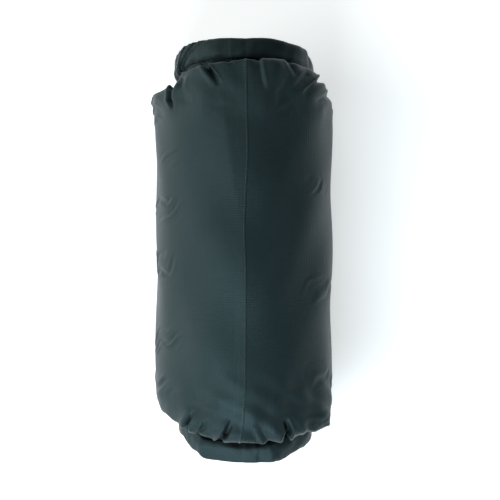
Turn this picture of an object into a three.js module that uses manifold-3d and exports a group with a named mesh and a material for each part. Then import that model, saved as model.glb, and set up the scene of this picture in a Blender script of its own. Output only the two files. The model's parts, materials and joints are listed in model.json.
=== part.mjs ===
// A stuffed double-ended roll-closure compression sack, lying on its front.
//
// The sack is one tube of coated cloth. Each open end is pressed flat, rolled up around a stiff strip,
// and bent round until the two ends of the roll clip together behind it with a side-release buckle.
// Millimetres, +Z up. The sack lies along Y with its sewn back seam on top, and rests on a flat at z = 0.
// The closure at the +Y end is the head closure; the one at the -Y end is the foot closure, the same
// assembly turned half a turn about Z.
import * as THREE from "three";
import Module from "manifold-3d";
import { mergeVertices } from "three/addons/utils/BufferGeometryUtils.js";

// Sack
const SACK_WIDTH = 190; // across the stuffed barrel
const OVERALL_LENGTH = 464; // over both closures
const SETTLE = 8; // how much lower than round the barrel is, where it lies on its flat
const PANEL_WALL = 1.2; // the cloth, thickened to stand as a solid
const LOAD_GAP = 2.4; // between the cloth and the load packed in it
const END_GAP = 12; // how far the barrel's puffed ends stay behind the mouths' middle
const END_TILT = THREE.MathUtils.degToRad(21); // the ends puff out further at the back than the front
const SHOULDER_START = 50; // where the barrel starts to turn in, before its ends
const SHOULDER_FULLNESS = 0.86; // 1 would be a square corner
const MOUTH_HALF_GAP = 2.2; // half the thickness of the flattened mouth, outside
const MOUTH_INSET = 4; // how far inside the roll's middle line the cloth leaves it

// Rolled closure
const ROLL_HEM = 2.5; // the roll is this much taller than its webbing at each edge
const ROLL_THICKNESS = 13;
const ROLL_EDGE_ROUND = 4;
const ROLL_TILT = THREE.MathUtils.degToRad(13); // the buckle side leans back towards the sack
const LOOP_DROP = 10; // the loop's centre is this far below the barrel's axis
const STIFFENER_THICKNESS = 1.5;
const HEM_TAPE_THICKNESS = 1;
const STRIP_END_SETBACK = 2; // the strips stop short of the roll's ends

// Webbing tabs
const WEBBING_WIDTH = 20; // the stiffener and the hem tape are as wide
const TAB_THICKNESS = 3; // two plies sewn together
const TAB_IN_ROLL = 12; // length sewn in between stiffener and hem tape
const SOCKET_TAB = 20; // from the roll's end to the socket's bar
const PLUG_TAB = 44; // from the roll's end to the plug's bar
const TAB_BEND = 13; // how deep the tabs turn between the roll's end and the buckle
const TACK_LENGTH = 3;
const TACK_THICKNESS = 0.5;

// Side-release buckle
const BUCKLE_SPAN = 46; // bar to bar when closed
const BUCKLE_THICKNESS = 9;
const BAR_RADIUS = 1.9;
const CHEEK = 2.2; // side walls that carry a bar
const WEBBING_PLAY = 0.8; // between the webbing's edge and a cheek
const PLUG_BLOCK = 8;
const SOCKET_BACK_WALL = 3;
const SOCKET_SIDE_WALL = 2.6;
const SOCKET_FACE_WALL = 1.6;
const PRONG_WIDTH = 4;
const ARM_THICKNESS = 2.6;
const ARM_HEAD_LENGTH = 9.4;
const CATCH_HEIGHT = 1.2; // how far the catch stands out past the cavity's wall
const PAD_SINK = 0.6; // how far the thumb pad stays inside the socket's edge

// Seam
const SEAM_TAPE_WIDTH = 20;
const SEAM_TAPE_THICKNESS = 0.4;
const THREAD_WIDTH = 1.2;
const THREAD_THICKNESS = 0.5;

const TOUCH = 0.3; // gap between pieces that touch
const SLIDE_GAP = 0.5; // gap around pieces that slide in each other
const AROUND = 48; // facets around the barrel
const END_RINGS = 8; // rings from the barrel to a mouth
const ARC_SEGMENTS = 14; // half the facets along the roll
const LOAD_END = 0.5; // the load fills the shoulders this far towards the mouths

// ---- What follows from those sizes ----

const rollHeight = WEBBING_WIDTH + 2 * ROLL_HEM;
const buckleWidth = WEBBING_WIDTH + 2 * (WEBBING_PLAY + CHEEK);
const barToBlock = BAR_RADIUS + TAB_THICKNESS + 2 * SLIDE_GAP; // room for the tab round the bar
const barrelRadius = SACK_WIDTH / 2;
const barrelAxisZ = barrelRadius - SETTLE;
const mouthWidth = (Math.PI * SACK_WIDTH) / 2; // a tube pressed flat is half its girth wide
const chord = SOCKET_TAB + BUCKLE_SPAN + PLUG_TAB; // what the tabs and the buckle span

// The roll is an arc as long as the mouth is wide, whose ends are one chord apart.
function halfAngleOfArc(arcLength, chordLength) {
  let low = 0.1;
  let high = Math.PI;
  for (let i = 0; i < 60; i++) {
    const middle = (low + high) / 2;
    if (Math.sin(middle) / middle > chordLength / arcLength) low = middle;
    else high = middle;
  }
  return low;
}
const rollHalfAngle = halfAngleOfArc(mouthWidth, chord);
const rollRadius = mouthWidth / 2 / rollHalfAngle;
const rollOuter = rollRadius + ROLL_THICKNESS / 2;
const rollInner = rollRadius - ROLL_THICKNESS / 2;
const mouthRadius = rollRadius - MOUTH_INSET;

// The closure's own frame: x along the buckle, y out of the sack, z from the buckle to the roll's middle.
const loopZ = barrelAxisZ - LOOP_DROP;
const loopY = OVERALL_LENGTH / 2 - rollOuter * Math.sin(ROLL_TILT) - rollHeight * Math.cos(ROLL_TILT);

const wasm = await Module();
wasm.setup();

// ---- Helpers ----

function toSolid(geometry) {
  const bare = geometry.index ? geometry.toNonIndexed() : geometry.clone();
  bare.deleteAttribute("normal");
  bare.deleteAttribute("uv");
  const merged = mergeVertices(bare, 1e-3);
  return new wasm.Manifold(
    new wasm.Mesh({
      numProp: 3,
      vertProperties: merged.attributes.position.array,
      triVerts: new Uint32Array(merged.index.array),
    }),
  );
}

function toGeometry(solid) {
  const mesh = solid.getMesh();
  const geometry = new THREE.BufferGeometry();
  geometry.setAttribute("position", new THREE.BufferAttribute(mesh.vertProperties, mesh.numProp));
  geometry.setIndex(new THREE.BufferAttribute(mesh.triVerts, 1));
  return geometry;
}

// A box from one corner to the other.
function block(x0, x1, y0, y1, z0, z1) {
  const box = new THREE.BoxGeometry(x1 - x0, y1 - y0, z1 - z0);
  return box.translate((x0 + x1) / 2, (y0 + y1) / 2, (z0 + z1) / 2);
}

// An outline in x and z, drawn out along y from y0 to y1.
function drawnAlongY(shape, y0, y1, options = {}) {
  const flat = { depth: y1 - y0, bevelEnabled: false, curveSegments: ARC_SEGMENTS, ...options };
  const geometry = new THREE.ExtrudeGeometry(shape, flat);
  return geometry.rotateX(Math.PI / 2).translate(0, y1, 0);
}

// A band around the closure's y axis, from r0 to r1, reaching halfAngle to each side of +z.
function arcBand(r0, r1, halfAngle) {
  const shape = new THREE.Shape();
  shape.absarc(0, 0, r1, Math.PI / 2 + halfAngle, Math.PI / 2 - halfAngle, true);
  shape.absarc(0, 0, r0, Math.PI / 2 - halfAngle, Math.PI / 2 + halfAngle, false);
  return shape;
}

function node(name, geometry, material) {
  const mesh = new THREE.Mesh(geometry, material);
  mesh.name = name;
  return mesh;
}

function finish(color, roughness, metalness = 0) {
  return new THREE.MeshStandardMaterial({ color, roughness, metalness });
}

const cloth = finish(0x2e3838, 0.6);
const wadding = finish(0xb9b6ac, 0.95);
const sealingTape = finish(0x8d9396, 0.35);
const thread = finish(0x39474a, 0.7);
const stripPlastic = finish(0x17191a, 0.5);
const webbing = finish(0x1b1f20, 0.8);
const bucklePlastic = finish(0x101212, 0.4);

// ---- The sack ----

// Where the line of cloth that lies at this angle round the barrel (0 on top) enters the head mouth.
// The top half of the tube becomes the outer ply of the mouth and the bottom half its inner ply.
function mouthPoint(angle, inset) {
  const front = Math.abs(angle) <= Math.PI / 2 + 1e-9;
  const share = (front ? angle : Math.sign(angle) * Math.PI - angle) / (Math.PI / 2);
  const along = share * rollHalfAngle;
  const halfGap = MOUTH_HALF_GAP - inset;
  const atFold = Math.abs(share) > 1 - 1e-6;
  const r = mouthRadius + (atFold ? 0 : front ? halfGap : -halfGap);
  const beyond = atFold ? Math.sign(share) * halfGap : 0;
  return new THREE.Vector3(
    r * Math.sin(along) + beyond * Math.cos(along),
    -2 * TOUCH,
    r * Math.cos(along) - beyond * Math.sin(along),
  );
}

const closureTurn = new THREE.Matrix4().makeRotationX(-ROLL_TILT).setPosition(0, loopY, loopZ);

// The curve that one line of cloth follows from the barrel, round the shoulder, into the head mouth.
function shoulderCurve(angle, inset) {
  const r = barrelRadius - inset;
  const x = r * Math.sin(angle);
  const z = Math.max(barrelAxisZ + r * Math.cos(angle), inset);
  const endY = loopY + (z - loopZ) * Math.tan(END_TILT) - END_GAP - inset;
  const corner = new THREE.Vector3(x, endY, z);
  const start = new THREE.Vector3(x, endY - SHOULDER_START, z);
  const mouth = mouthPoint(angle, inset).applyMatrix4(closureTurn);
  return new THREE.CubicBezierCurve3(
    start,
    start.clone().lerp(corner, SHOULDER_FULLNESS),
    mouth.clone().lerp(corner, SHOULDER_FULLNESS),
    mouth,
  );
}

// Rings of points from the foot mouth to the head mouth, ending at a share of each shoulder curve.
function sackRings(inset, reach) {
  const lines = [];
  for (let i = 0; i < AROUND; i++) {
    const turn = (i / AROUND) * 2 * Math.PI;
    const curve = shoulderCurve(turn > Math.PI + 1e-9 ? turn - 2 * Math.PI : turn, inset);
    const head = [];
    for (let j = 0; j <= END_RINGS; j++) head.push(curve.getPoint((reach * j) / END_RINGS));
    const foot = head.map((p) => new THREE.Vector3(p.x, -p.y, p.z)).reverse();
    lines.push([...foot, ...head]);
  }
  return lines[0].map((_, ring) => lines.map((line) => line[ring]));
}

// Triangles between consecutive rings, facing out of the tube or into it.
function skin(rings, outward) {
  const corners = [];
  for (let j = 0; j + 1 < rings.length; j++) {
    for (let i = 0; i < AROUND; i++) {
      const k = (i + 1) % AROUND;
      const [a, b, c, d] = [rings[j][i], rings[j][k], rings[j + 1][k], rings[j + 1][i]];
      corners.push(...(outward ? [a, b, c, a, c, d] : [a, c, b, a, d, c]));
    }
  }
  return corners;
}

// A fan that closes a ring towards its middle.
function fan(ring, facingHead) {
  const middle = ring.reduce((sum, p) => sum.add(p), new THREE.Vector3()).divideScalar(ring.length);
  return ring.flatMap((p, i) => {
    const next = ring[(i + 1) % ring.length];
    return facingHead ? [p, next, middle] : [p, middle, next];
  });
}

function fromCorners(corners) {
  return new THREE.BufferGeometry().setFromPoints(corners);
}

function sackPanel() {
  const outer = sackRings(0, 1);
  const inner = sackRings(PANEL_WALL, 1);
  const last = outer.length - 1;
  const rim = (from, to) => skin([from, to], true);
  return fromCorners([
    ...skin(outer, true),
    ...skin(inner, false),
    ...rim(outer[last], inner[last]),
    ...rim(inner[0], outer[0]),
  ]);
}

function packedLoad() {
  const rings = sackRings(PANEL_WALL + LOAD_GAP, LOAD_END);
  return fromCorners([
    ...skin(rings, true),
    ...fan(rings[rings.length - 1], true),
    ...fan(rings[0], false),
  ]);
}

// ---- The rolled closure, in its own frame ----

const rollMiddleY = rollHeight / 2;

// The plies in the roll, from the inside of the loop outwards: stiffener, tab, hem tape.
const tabRadius = rollRadius + 0.1;
const stiffenerOuter = tabRadius - TAB_THICKNESS / 2 - TOUCH;
const stiffenerInner = stiffenerOuter - STIFFENER_THICKNESS;
const hemInner = tabRadius + TAB_THICKNESS / 2 + TOUCH;
const hemOuter = hemInner + HEM_TAPE_THICKNESS;

function rollFabric() {
  const band = arcBand(rollInner, rollOuter, rollHalfAngle);
  const rounded = drawnAlongY(band, ROLL_EDGE_ROUND, rollHeight - ROLL_EDGE_ROUND, {
    bevelEnabled: true,
    bevelThickness: ROLL_EDGE_ROUND,
    bevelSize: ROLL_EDGE_ROUND,
    bevelOffset: -ROLL_EDGE_ROUND,
    bevelSegments: 3,
  });
  const core = arcBand(stiffenerInner - TOUCH, hemOuter + TOUCH, rollHalfAngle + 0.2);
  const halfCore = WEBBING_WIDTH / 2 + SLIDE_GAP;
  const pocket = drawnAlongY(core, rollMiddleY - halfCore, rollMiddleY + halfCore);
  return toGeometry(toSolid(rounded).subtract(toSolid(pocket)));
}

function stripInRoll(r0, r1) {
  const band = arcBand(r0, r1, rollHalfAngle - STRIP_END_SETBACK / rollRadius);
  return drawnAlongY(band, rollMiddleY - WEBBING_WIDTH / 2, rollMiddleY + WEBBING_WIDTH / 2);
}

// The buckle lies across the open side of the loop.
const rollEnd = new THREE.Vector2(
  tabRadius * Math.sin(rollHalfAngle),
  tabRadius * Math.cos(rollHalfAngle),
);
const exitAngle = Math.PI - rollHalfAngle; // between the roll's end and the line of the buckle
const buckleZ = rollEnd.y - TAB_BEND * (1 - Math.cos(exitAngle));
const socketBarX = -chord / 2 + SOCKET_TAB;
const plugBarX = socketBarX + BUCKLE_SPAN;

// The middle line of the tab on the +x side: along the roll, round the bend and on to the bar.
function tabLine(barX) {
  const line = [];
  const rollSteps = 3;
  const bendSteps = 6;
  for (let i = 0; i < rollSteps; i++) {
    const t = rollHalfAngle - (TAB_IN_ROLL / tabRadius) * (1 - i / rollSteps);
    line.push(new THREE.Vector2(tabRadius * Math.sin(t), tabRadius * Math.cos(t)));
  }
  for (let i = 0; i <= bendSteps; i++) {
    const turn = exitAngle * (1 - i / bendSteps);
    line.push(
      new THREE.Vector2(
        rollEnd.x - TAB_BEND * (Math.sin(exitAngle) - Math.sin(turn)),
        rollEnd.y - TAB_BEND * (Math.cos(turn) - Math.cos(exitAngle)),
      ),
    );
  }
  line.push(new THREE.Vector2(barX, buckleZ));
  return line;
}

// One tab on the +x side, as an outline in x and z with a hole for the bar.
function tabShape(barX) {
  const line = tabLine(barX);
  const half = TAB_THICKNESS / 2;
  const loopRadius = BAR_RADIUS + SLIDE_GAP + half;
  const offset = (side) =>
    line.slice(0, -1).map((p, i) => {
      const way = line[i + 1].clone().sub(line[Math.max(i - 1, 0)]).normalize();
      return new THREE.Vector2(p.x - side * half * way.y, p.y + side * half * way.x);
    });
  const opening = Math.asin(half / loopRadius);
  const shape = new THREE.Shape(offset(1));
  shape.absarc(barX, buckleZ, loopRadius, -opening, opening, true);
  for (const p of offset(-1).reverse()) shape.lineTo(p.x, p.y);
  const hole = new THREE.Path();
  hole.absarc(barX, buckleZ, BAR_RADIUS + SLIDE_GAP, 0, 2 * Math.PI, false);
  shape.holes.push(hole);
  return shape;
}

function tab(barX) {
  return drawnAlongY(tabShape(barX), rollMiddleY - WEBBING_WIDTH / 2, rollMiddleY + WEBBING_WIDTH / 2, {
    curveSegments: 8,
  });
}

// A row of dense stitches across the tab, on the face away from the loop.
function tack(x) {
  const face = buckleZ - TAB_THICKNESS / 2 - TOUCH;
  const half = WEBBING_WIDTH / 2 - 2;
  return block(x, x + TACK_LENGTH, rollMiddleY - half, rollMiddleY + half, face - TACK_THICKNESS, face);
}

function mirroredX(geometry) {
  return toGeometry(toSolid(geometry).mirror([1, 0, 0]));
}

// A bar with its two cheeks, reaching from the bar to the block that carries it.
function barAndCheeks(barX, blockX) {
  const bar = new THREE.CylinderGeometry(BAR_RADIUS, BAR_RADIUS, buckleWidth, 12);
  bar.translate(barX, rollMiddleY, buckleZ);
  const x0 = Math.min(barX, blockX);
  const x1 = Math.max(barX, blockX);
  const half = buckleWidth / 2;
  const z0 = buckleZ - BAR_RADIUS;
  const z1 = buckleZ + BAR_RADIUS;
  const low = block(x0, x1, rollMiddleY - half, rollMiddleY - half + CHEEK, z0, z1);
  const high = block(x0, x1, rollMiddleY + half - CHEEK, rollMiddleY + half, z0, z1);
  return toSolid(bar).add(toSolid(low)).add(toSolid(high));
}

// A block of the buckle with rounded long edges, seen along x as a rounded rectangle.
function roundedBlock(x0, x1) {
  const round = 2.4;
  const halfWidth = buckleWidth / 2 - round;
  const halfThickness = BUCKLE_THICKNESS / 2 - round;
  const section = new THREE.Shape();
  section.absarc(halfWidth, halfThickness, round, 0, Math.PI / 2, false);
  section.absarc(-halfWidth, halfThickness, round, Math.PI / 2, Math.PI, false);
  section.absarc(-halfWidth, -halfThickness, round, Math.PI, 1.5 * Math.PI, false);
  section.absarc(halfWidth, -halfThickness, round, 1.5 * Math.PI, 2 * Math.PI, false);
  const geometry = new THREE.ExtrudeGeometry(section, {
    depth: x1 - x0,
    bevelEnabled: false,
    curveSegments: 2,
  });
  geometry.rotateZ(Math.PI / 2).rotateY(Math.PI / 2);
  return geometry.translate(x0, rollMiddleY, buckleZ);
}

const socketBackX = socketBarX + barToBlock;
const plugFrontX = plugBarX - barToBlock;
const plugFaceX = plugFrontX - PLUG_BLOCK;
const socketMouthX = plugFaceX - TOUCH;
const cavityX = socketBackX + SOCKET_BACK_WALL;
const cavityHalfWidth = buckleWidth / 2 - SOCKET_SIDE_WALL;
const cavityHalfThickness = BUCKLE_THICKNESS / 2 - SOCKET_FACE_WALL;
const armHalfThickness = cavityHalfThickness - SLIDE_GAP;
const armTipX = cavityX + SLIDE_GAP + 0.5;
const armOuterY = cavityHalfWidth - SLIDE_GAP;

function buckleSocket() {
  const cavity = block(
    cavityX,
    socketMouthX + 1,
    rollMiddleY - cavityHalfWidth,
    rollMiddleY + cavityHalfWidth,
    buckleZ - cavityHalfThickness,
    buckleZ + cavityHalfThickness,
  );
  const sideWindows = block(
    armTipX - SLIDE_GAP,
    armTipX + ARM_HEAD_LENGTH + SLIDE_GAP,
    rollMiddleY - buckleWidth,
    rollMiddleY + buckleWidth,
    buckleZ - cavityHalfThickness,
    buckleZ + cavityHalfThickness,
  );
  const solid = toSolid(roundedBlock(socketBackX, socketMouthX))
    .add(barAndCheeks(socketBarX, socketBackX + 1))
    .subtract(toSolid(cavity))
    .subtract(toSolid(sideWindows));
  return toGeometry(solid);
}

function bucklePlug() {
  const prong = block(
    cavityX + 1,
    plugFaceX + 1,
    rollMiddleY - PRONG_WIDTH / 2,
    rollMiddleY + PRONG_WIDTH / 2,
    buckleZ - armHalfThickness,
    buckleZ + armHalfThickness,
  );
  const solid = toSolid(roundedBlock(plugFaceX, plugFrontX))
    .add(barAndCheeks(plugBarX, plugFrontX - 1))
    .add(toSolid(prong));
  return toGeometry(solid);
}

// One latch arm, a springy strip with a catch and a thumb pad that fills the socket's side window.
// side is +1 for the arm at the roll's free edge and -1 for the one next to the sack.
function latchArm(side) {
  const inner = armOuterY - ARM_THICKNESS;
  const rootX = plugFaceX - TOUCH;
  const catchX = armTipX + ARM_HEAD_LENGTH;
  const catchY = cavityHalfWidth + CATCH_HEIGHT - SLIDE_GAP;
  const padY = buckleWidth / 2 - PAD_SINK;
  const outline = [
    [rootX, inner],
    [rootX, armOuterY],
    [catchX, armOuterY],
    [catchX, catchY],
    [armTipX + ARM_HEAD_LENGTH * 0.6, padY],
    [armTipX + ARM_HEAD_LENGTH * 0.35, padY],
    [armTipX, armOuterY - 1],
    [armTipX, inner],
  ];
  const points = outline.map(([x, y]) => new THREE.Vector2(x, rollMiddleY + side * y));
  const geometry = new THREE.ExtrudeGeometry(new THREE.Shape(points), {
    depth: 2 * armHalfThickness,
    bevelEnabled: false,
  });
  return geometry.translate(0, 0, buckleZ - armHalfThickness);
}

// One complete closure in its own frame. end is "head" or "foot".
function closure(end) {
  const group = new THREE.Group();
  const tackReach = rollEnd.x - TAB_BEND * Math.sin(exitAngle);
  group.add(
    node(`${end}_roll_fabric`, rollFabric(), cloth),
    node(`${end}_stiffener`, stripInRoll(stiffenerInner, stiffenerOuter), stripPlastic),
    node(`${end}_hem_tape`, stripInRoll(hemInner, hemOuter), webbing),
    node(`${end}_socket_tab`, mirroredX(tab(-socketBarX)), webbing),
    node(`${end}_plug_tab`, tab(plugBarX), webbing),
    node(`${end}_socket_tack`, tack(-tackReach), thread),
    node(`${end}_plug_tack`, tack(tackReach - TACK_LENGTH), thread),
    node(`${end}_buckle_socket`, buckleSocket(), bucklePlastic),
    node(`${end}_buckle_plug`, bucklePlug(), bucklePlastic),
    node(`${end}_latch_outer`, latchArm(1), bucklePlastic),
    node(`${end}_latch_inner`, latchArm(-1), bucklePlastic),
  );
  group.position.set(0, loopY, loopZ);
  group.rotation.x = -ROLL_TILT;
  return group;
}

// ---- Assembly ----

const straightHalfLength = shoulderCurve(0, 0).v0.y;
const sackTop = barrelAxisZ + barrelRadius;
const tapeTop = sackTop - PANEL_WALL - 3 * TOUCH;

const sack = new THREE.Group();
sack.add(
  node("sack_panel", sackPanel(), cloth),
  node("packed_load", packedLoad(), wadding),
  node(
    "seam_tape",
    block(
      -SEAM_TAPE_WIDTH / 2,
      SEAM_TAPE_WIDTH / 2,
      -straightHalfLength,
      straightHalfLength,
      tapeTop - SEAM_TAPE_THICKNESS,
      tapeTop,
    ),
    sealingTape,
  ),
  node(
    "seam_thread",
    block(
      -THREAD_WIDTH / 2,
      THREAD_WIDTH / 2,
      -straightHalfLength,
      straightHalfLength,
      sackTop + TOUCH,
      sackTop + TOUCH + THREAD_THICKNESS,
    ),
    thread,
  ),
);

const foot = new THREE.Group();
foot.add(closure("foot"));
foot.rotation.z = Math.PI;

const compressionSack = new THREE.Group();
compressionSack.add(sack, closure("head"), foot);

export default compressionSack;
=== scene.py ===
# %% [markdown]
# # A stuffed compression sack, rolled and buckled at both ends
#
# The sack is one tube of coated nylon with a single lengthwise seam. Each end is pressed flat, rolled
# around a stiff strip, bent into a loop and clipped to itself with a side-release buckle. The frame
# already holds every working piece at its real size, so this lesson only makes the looks: cloth that
# has really been blown up from its cutting pattern, rolls made of real layers, woven webbing and
# moulded buckles. Everything is in metres. The sack lies along Y with its seam on top.

import json
import math

import bpy
import numpy as np
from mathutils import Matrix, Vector


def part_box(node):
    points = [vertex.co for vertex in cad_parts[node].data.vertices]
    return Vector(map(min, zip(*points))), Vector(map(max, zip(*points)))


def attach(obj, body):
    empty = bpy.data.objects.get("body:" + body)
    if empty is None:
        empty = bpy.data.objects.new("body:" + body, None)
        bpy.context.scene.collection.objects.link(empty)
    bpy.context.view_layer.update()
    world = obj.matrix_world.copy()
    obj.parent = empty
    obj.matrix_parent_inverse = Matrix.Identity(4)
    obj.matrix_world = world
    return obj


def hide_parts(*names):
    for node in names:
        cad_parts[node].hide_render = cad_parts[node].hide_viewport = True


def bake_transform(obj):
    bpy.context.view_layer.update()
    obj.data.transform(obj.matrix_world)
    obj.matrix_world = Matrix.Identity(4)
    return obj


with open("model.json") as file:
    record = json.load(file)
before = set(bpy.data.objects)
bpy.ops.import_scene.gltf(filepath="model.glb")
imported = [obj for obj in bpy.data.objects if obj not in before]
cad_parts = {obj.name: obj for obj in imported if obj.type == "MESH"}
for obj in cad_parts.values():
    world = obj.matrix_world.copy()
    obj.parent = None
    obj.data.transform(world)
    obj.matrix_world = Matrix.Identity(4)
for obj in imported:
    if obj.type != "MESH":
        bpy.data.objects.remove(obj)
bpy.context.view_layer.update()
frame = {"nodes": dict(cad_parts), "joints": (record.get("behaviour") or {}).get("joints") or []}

# %% [markdown]
# ## Where things are
#
# Every place below comes from the frame. The latch arms turn about an axis that points from the buckle
# to the middle of the roll, and the closure swings about a line over the roll's outer face. Those two
# facts and the width of the roll give the closure its own axes: x along the buckle, v out of the sack
# and w from the buckle to the roll. The foot closure is the head closure turned half a turn.

# %% Read the sizes off the frame
MM = 0.001
ENDS = ("head", "foot")
joints = {joint["name"]: joint for joint in frame["joints"]}
AXIS_X = np.array([1.0, 0.0, 0.0])
AXIS_W = np.array(joints["head_latch_press"]["axis"])
AXIS_V = np.cross(AXIS_W, AXIS_X)
HINGE = np.array(joints["head_closure_swing"]["pos_m"])
LATCH_ROOT = np.array(joints["head_latch_press"]["pos_m"])

panel_low, panel_high = (np.array(corner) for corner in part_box("sack_panel"))
roll_low, roll_high = (np.array(corner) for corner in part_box("head_roll_fabric"))
BARREL_RADIUS = (panel_high[0] - panel_low[0]) / 2
BARREL_AXIS_Z = panel_high[2] - BARREL_RADIUS
ROLL_OUTER = (roll_high[0] - roll_low[0]) / 2
ROLL_THICKNESS = 13 * MM
ROLL_HEIGHT = 25 * MM
ROLL_RADIUS = ROLL_OUTER - ROLL_THICKNESS / 2
GIRTH = 2 * math.pi * BARREL_RADIUS
ROLL_HALF_ANGLE = GIRTH / 4 / ROLL_RADIUS
LOOP_CENTRE = HINGE - ROLL_OUTER * AXIS_W
BUCKLE_W = float(np.dot(LATCH_ROOT - LOOP_CENTRE, AXIS_W))


def turned(points, end):
    """The head's points as they are, or turned half a turn for the foot."""
    return points if end == "head" else points * (-1, -1, 1)


def place(points, end="head"):
    """Points (x, v, w) in a closure's own axes, as points in the row frame."""
    points = np.asarray(points, float)
    axes = np.stack([AXIS_X, AXIS_V, AXIS_W])
    return turned(LOOP_CENTRE + points @ axes, end)


print(f"barrel {2 * BARREL_RADIUS:.3f} m across, roll {2 * ROLL_OUTER:.3f} m across")

# %% [markdown]
# ## Light
#
# A dark, slightly shiny cloth only shows its form through what it reflects. So the light comes from
# large soft panels: two on the left, high and low, a bluer one low on the right, and one past each
# end. The panel past the foot is small and bright, because it has to pick out the lobes of cloth over
# that roll. The ceiling stays dim.

# %% Light panels
SUBJECT = Vector((2 * MM, 0.0, BARREL_AXIS_Z))


def add_panel_light(name, place_at, size, brightness, tint):
    """A soft panel that faces the sack; its power follows from how bright its face should look."""
    light = bpy.data.lights.new(name, "AREA")
    light.shape = "RECTANGLE"
    light.size, light.size_y = size
    light.energy = brightness * math.pi * size[0] * size[1]
    light.color = tint
    lamp = bpy.data.objects.new(name, light)
    lamp.location = place_at
    lamp.rotation_euler = (SUBJECT - lamp.location).to_track_quat("-Z", "Y").to_euler()
    bpy.context.scene.collection.objects.link(lamp)


# Each panel: where it hangs, its width and height, how bright its face looks, and its tint.
PANELS = {
    "left_high_panel": ((-1.4, 0.15, 1.0), (0.9, 1.8), 3.15, (1.0, 1.0, 0.97)),
    "left_low_panel": ((-1.6, 0.0, 0.6), (0.8, 2.2), 0.4, (1.0, 1.0, 0.98)),
    "right_panel": ((1.7, -0.3, 0.3), (0.5, 2.0), 0.6, (0.6, 0.9, 1.0)),
    "head_panel": ((0.1, 1.3, 1.1), (1.2, 0.6), 0.9, (0.9, 1.0, 1.0)),
    "foot_panel": ((-0.2, -0.62, 0.8), (0.55, 0.35), 12.5, (0.82, 0.93, 1.0)),
}
for name, (place_at, size, brightness, tint) in PANELS.items():
    add_panel_light(name, place_at, size, brightness, tint)

WORLD_BRIGHTNESS = 0.06
world = bpy.data.worlds.new("studio")
world.use_nodes = True
world.node_tree.nodes["Background"].inputs["Color"].default_value = (0.97, 0.98, 1.0, 1)
world.node_tree.nodes["Background"].inputs["Strength"].default_value = WORLD_BRIGHTNESS
bpy.context.scene.world = world
print(len(PANELS), "panels hung")

# %% [markdown]
# ## Table and camera
#
# The floor is a plain pale table lit from within, like a draughtsman's light table: it leaves hardly
# any shadow, and it draws the thin bright rims along both sides of the barrel. It lies a hair below the
# sack, so the two surfaces never share a plane. The camera looks straight down on the seam from a long
# way off, which keeps both ends in true proportion.

# %% Table and camera
FLOOR_HALF = 12.0
FLOOR_DROP = 0.5 * MM
corners = [(-1, -1), (1, -1), (1, 1), (-1, 1)]
floor_points = [(FLOOR_HALF * x, FLOOR_HALF * y, -FLOOR_DROP) for x, y in corners]
floor_mesh = bpy.data.meshes.new("floor")
floor_mesh.from_pydata(floor_points, [], [(0, 1, 2, 3)])
floor = bpy.data.objects.new("floor", floor_mesh)
bpy.context.scene.collection.objects.link(floor)

CAMERA_DISTANCE = 2.4
FRAME_WIDTH = 0.546
SENSOR_WIDTH = 36
CAMERA_ASIDE = 7 * MM
FOCUS_ABOVE_AXIS = 10 * MM
camera = bpy.data.cameras.new("camera")
camera.sensor_width = SENSOR_WIDTH
camera.lens = SENSOR_WIDTH * CAMERA_DISTANCE / FRAME_WIDTH
camera_object = bpy.data.objects.new("camera", camera)
camera_object.location = (CAMERA_ASIDE, 0, BARREL_AXIS_Z + FOCUS_ABOVE_AXIS + CAMERA_DISTANCE)
bpy.context.scene.collection.objects.link(camera_object)
bpy.context.scene.camera = camera_object
bpy.context.scene.view_settings.view_transform = "Standard"
print("camera", CAMERA_DISTANCE, "m above the seam, seeing", FRAME_WIDTH, "m across")

# %% [markdown]
# ## Helpers for materials
#
# Each finish is a short chain of procedural nodes. These helpers keep the chains readable: one adds a
# node with its settings, one links two sockets, and the others give a place on the piece, ridges,
# clouds, a mix of two colours, and a bump from a height.


# %% Node helpers
def new_material(name, color, roughness, **settings):
    """A material with its plain values set on the shader itself, and that shader."""
    material = bpy.data.materials.new(name)
    material.use_nodes = True
    shader = material.node_tree.nodes["Principled BSDF"]
    shader.inputs["Base Color"].default_value = (*color, 1)
    shader.inputs["Roughness"].default_value = roughness
    for socket, value in settings.items():
        shader.inputs[socket.replace("_", " ")].default_value = value
    return material, shader


def add_node(material, kind, inputs=None, **properties):
    """A node with its settings; an input can be a plain value or another node's output."""
    node = material.node_tree.nodes.new(kind)
    for key, value in properties.items():
        setattr(node, key, value)
    for key, value in (inputs or {}).items():
        if isinstance(value, bpy.types.NodeSocket):
            material.node_tree.links.new(value, node.inputs[key])
        else:
            node.inputs[key].default_value = value
    return node


def link(material, output, socket):
    material.node_tree.links.new(output, socket)


# %% [markdown]
# Cloth, webbing and moulded plastic all need the same few things: even ridges for threads, clouds and
# grain from noise, colours mixed by either, and a height that light catches on.


# %% Ridges, clouds and bumps
def place_on_piece(material):
    """Where a point lies on its piece, in metres."""
    return add_node(material, "ShaderNodeTexCoord").outputs["Object"]


def place_on_pattern(material):
    """Where a point lies on the flat cutting pattern, in metres."""
    return add_node(material, "ShaderNodeUVMap", uv_map="cloth").outputs["UV"]


def stretch(material, vector, scale):
    """Texture coordinates scaled per axis."""
    return add_node(material, "ShaderNodeMapping", {"Vector": vector, "Scale": scale}).outputs["Vector"]


def waves(material, vector, per_metre, direction="X"):
    """Even ridges, so many to the metre, along one texture direction."""
    scale = per_metre * 2 * math.pi / 20
    node = add_node(
        material, "ShaderNodeTexWave", {"Vector": vector, "Scale": scale, "Distortion": 0.0},
        bands_direction=direction,
    )
    return node.outputs["Fac"]


def noise(material, vector, scale, detail=3.0):
    node = add_node(material, "ShaderNodeTexNoise", {"Vector": vector, "Scale": scale, "Detail": detail})
    return node.outputs["Fac"]


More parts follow.
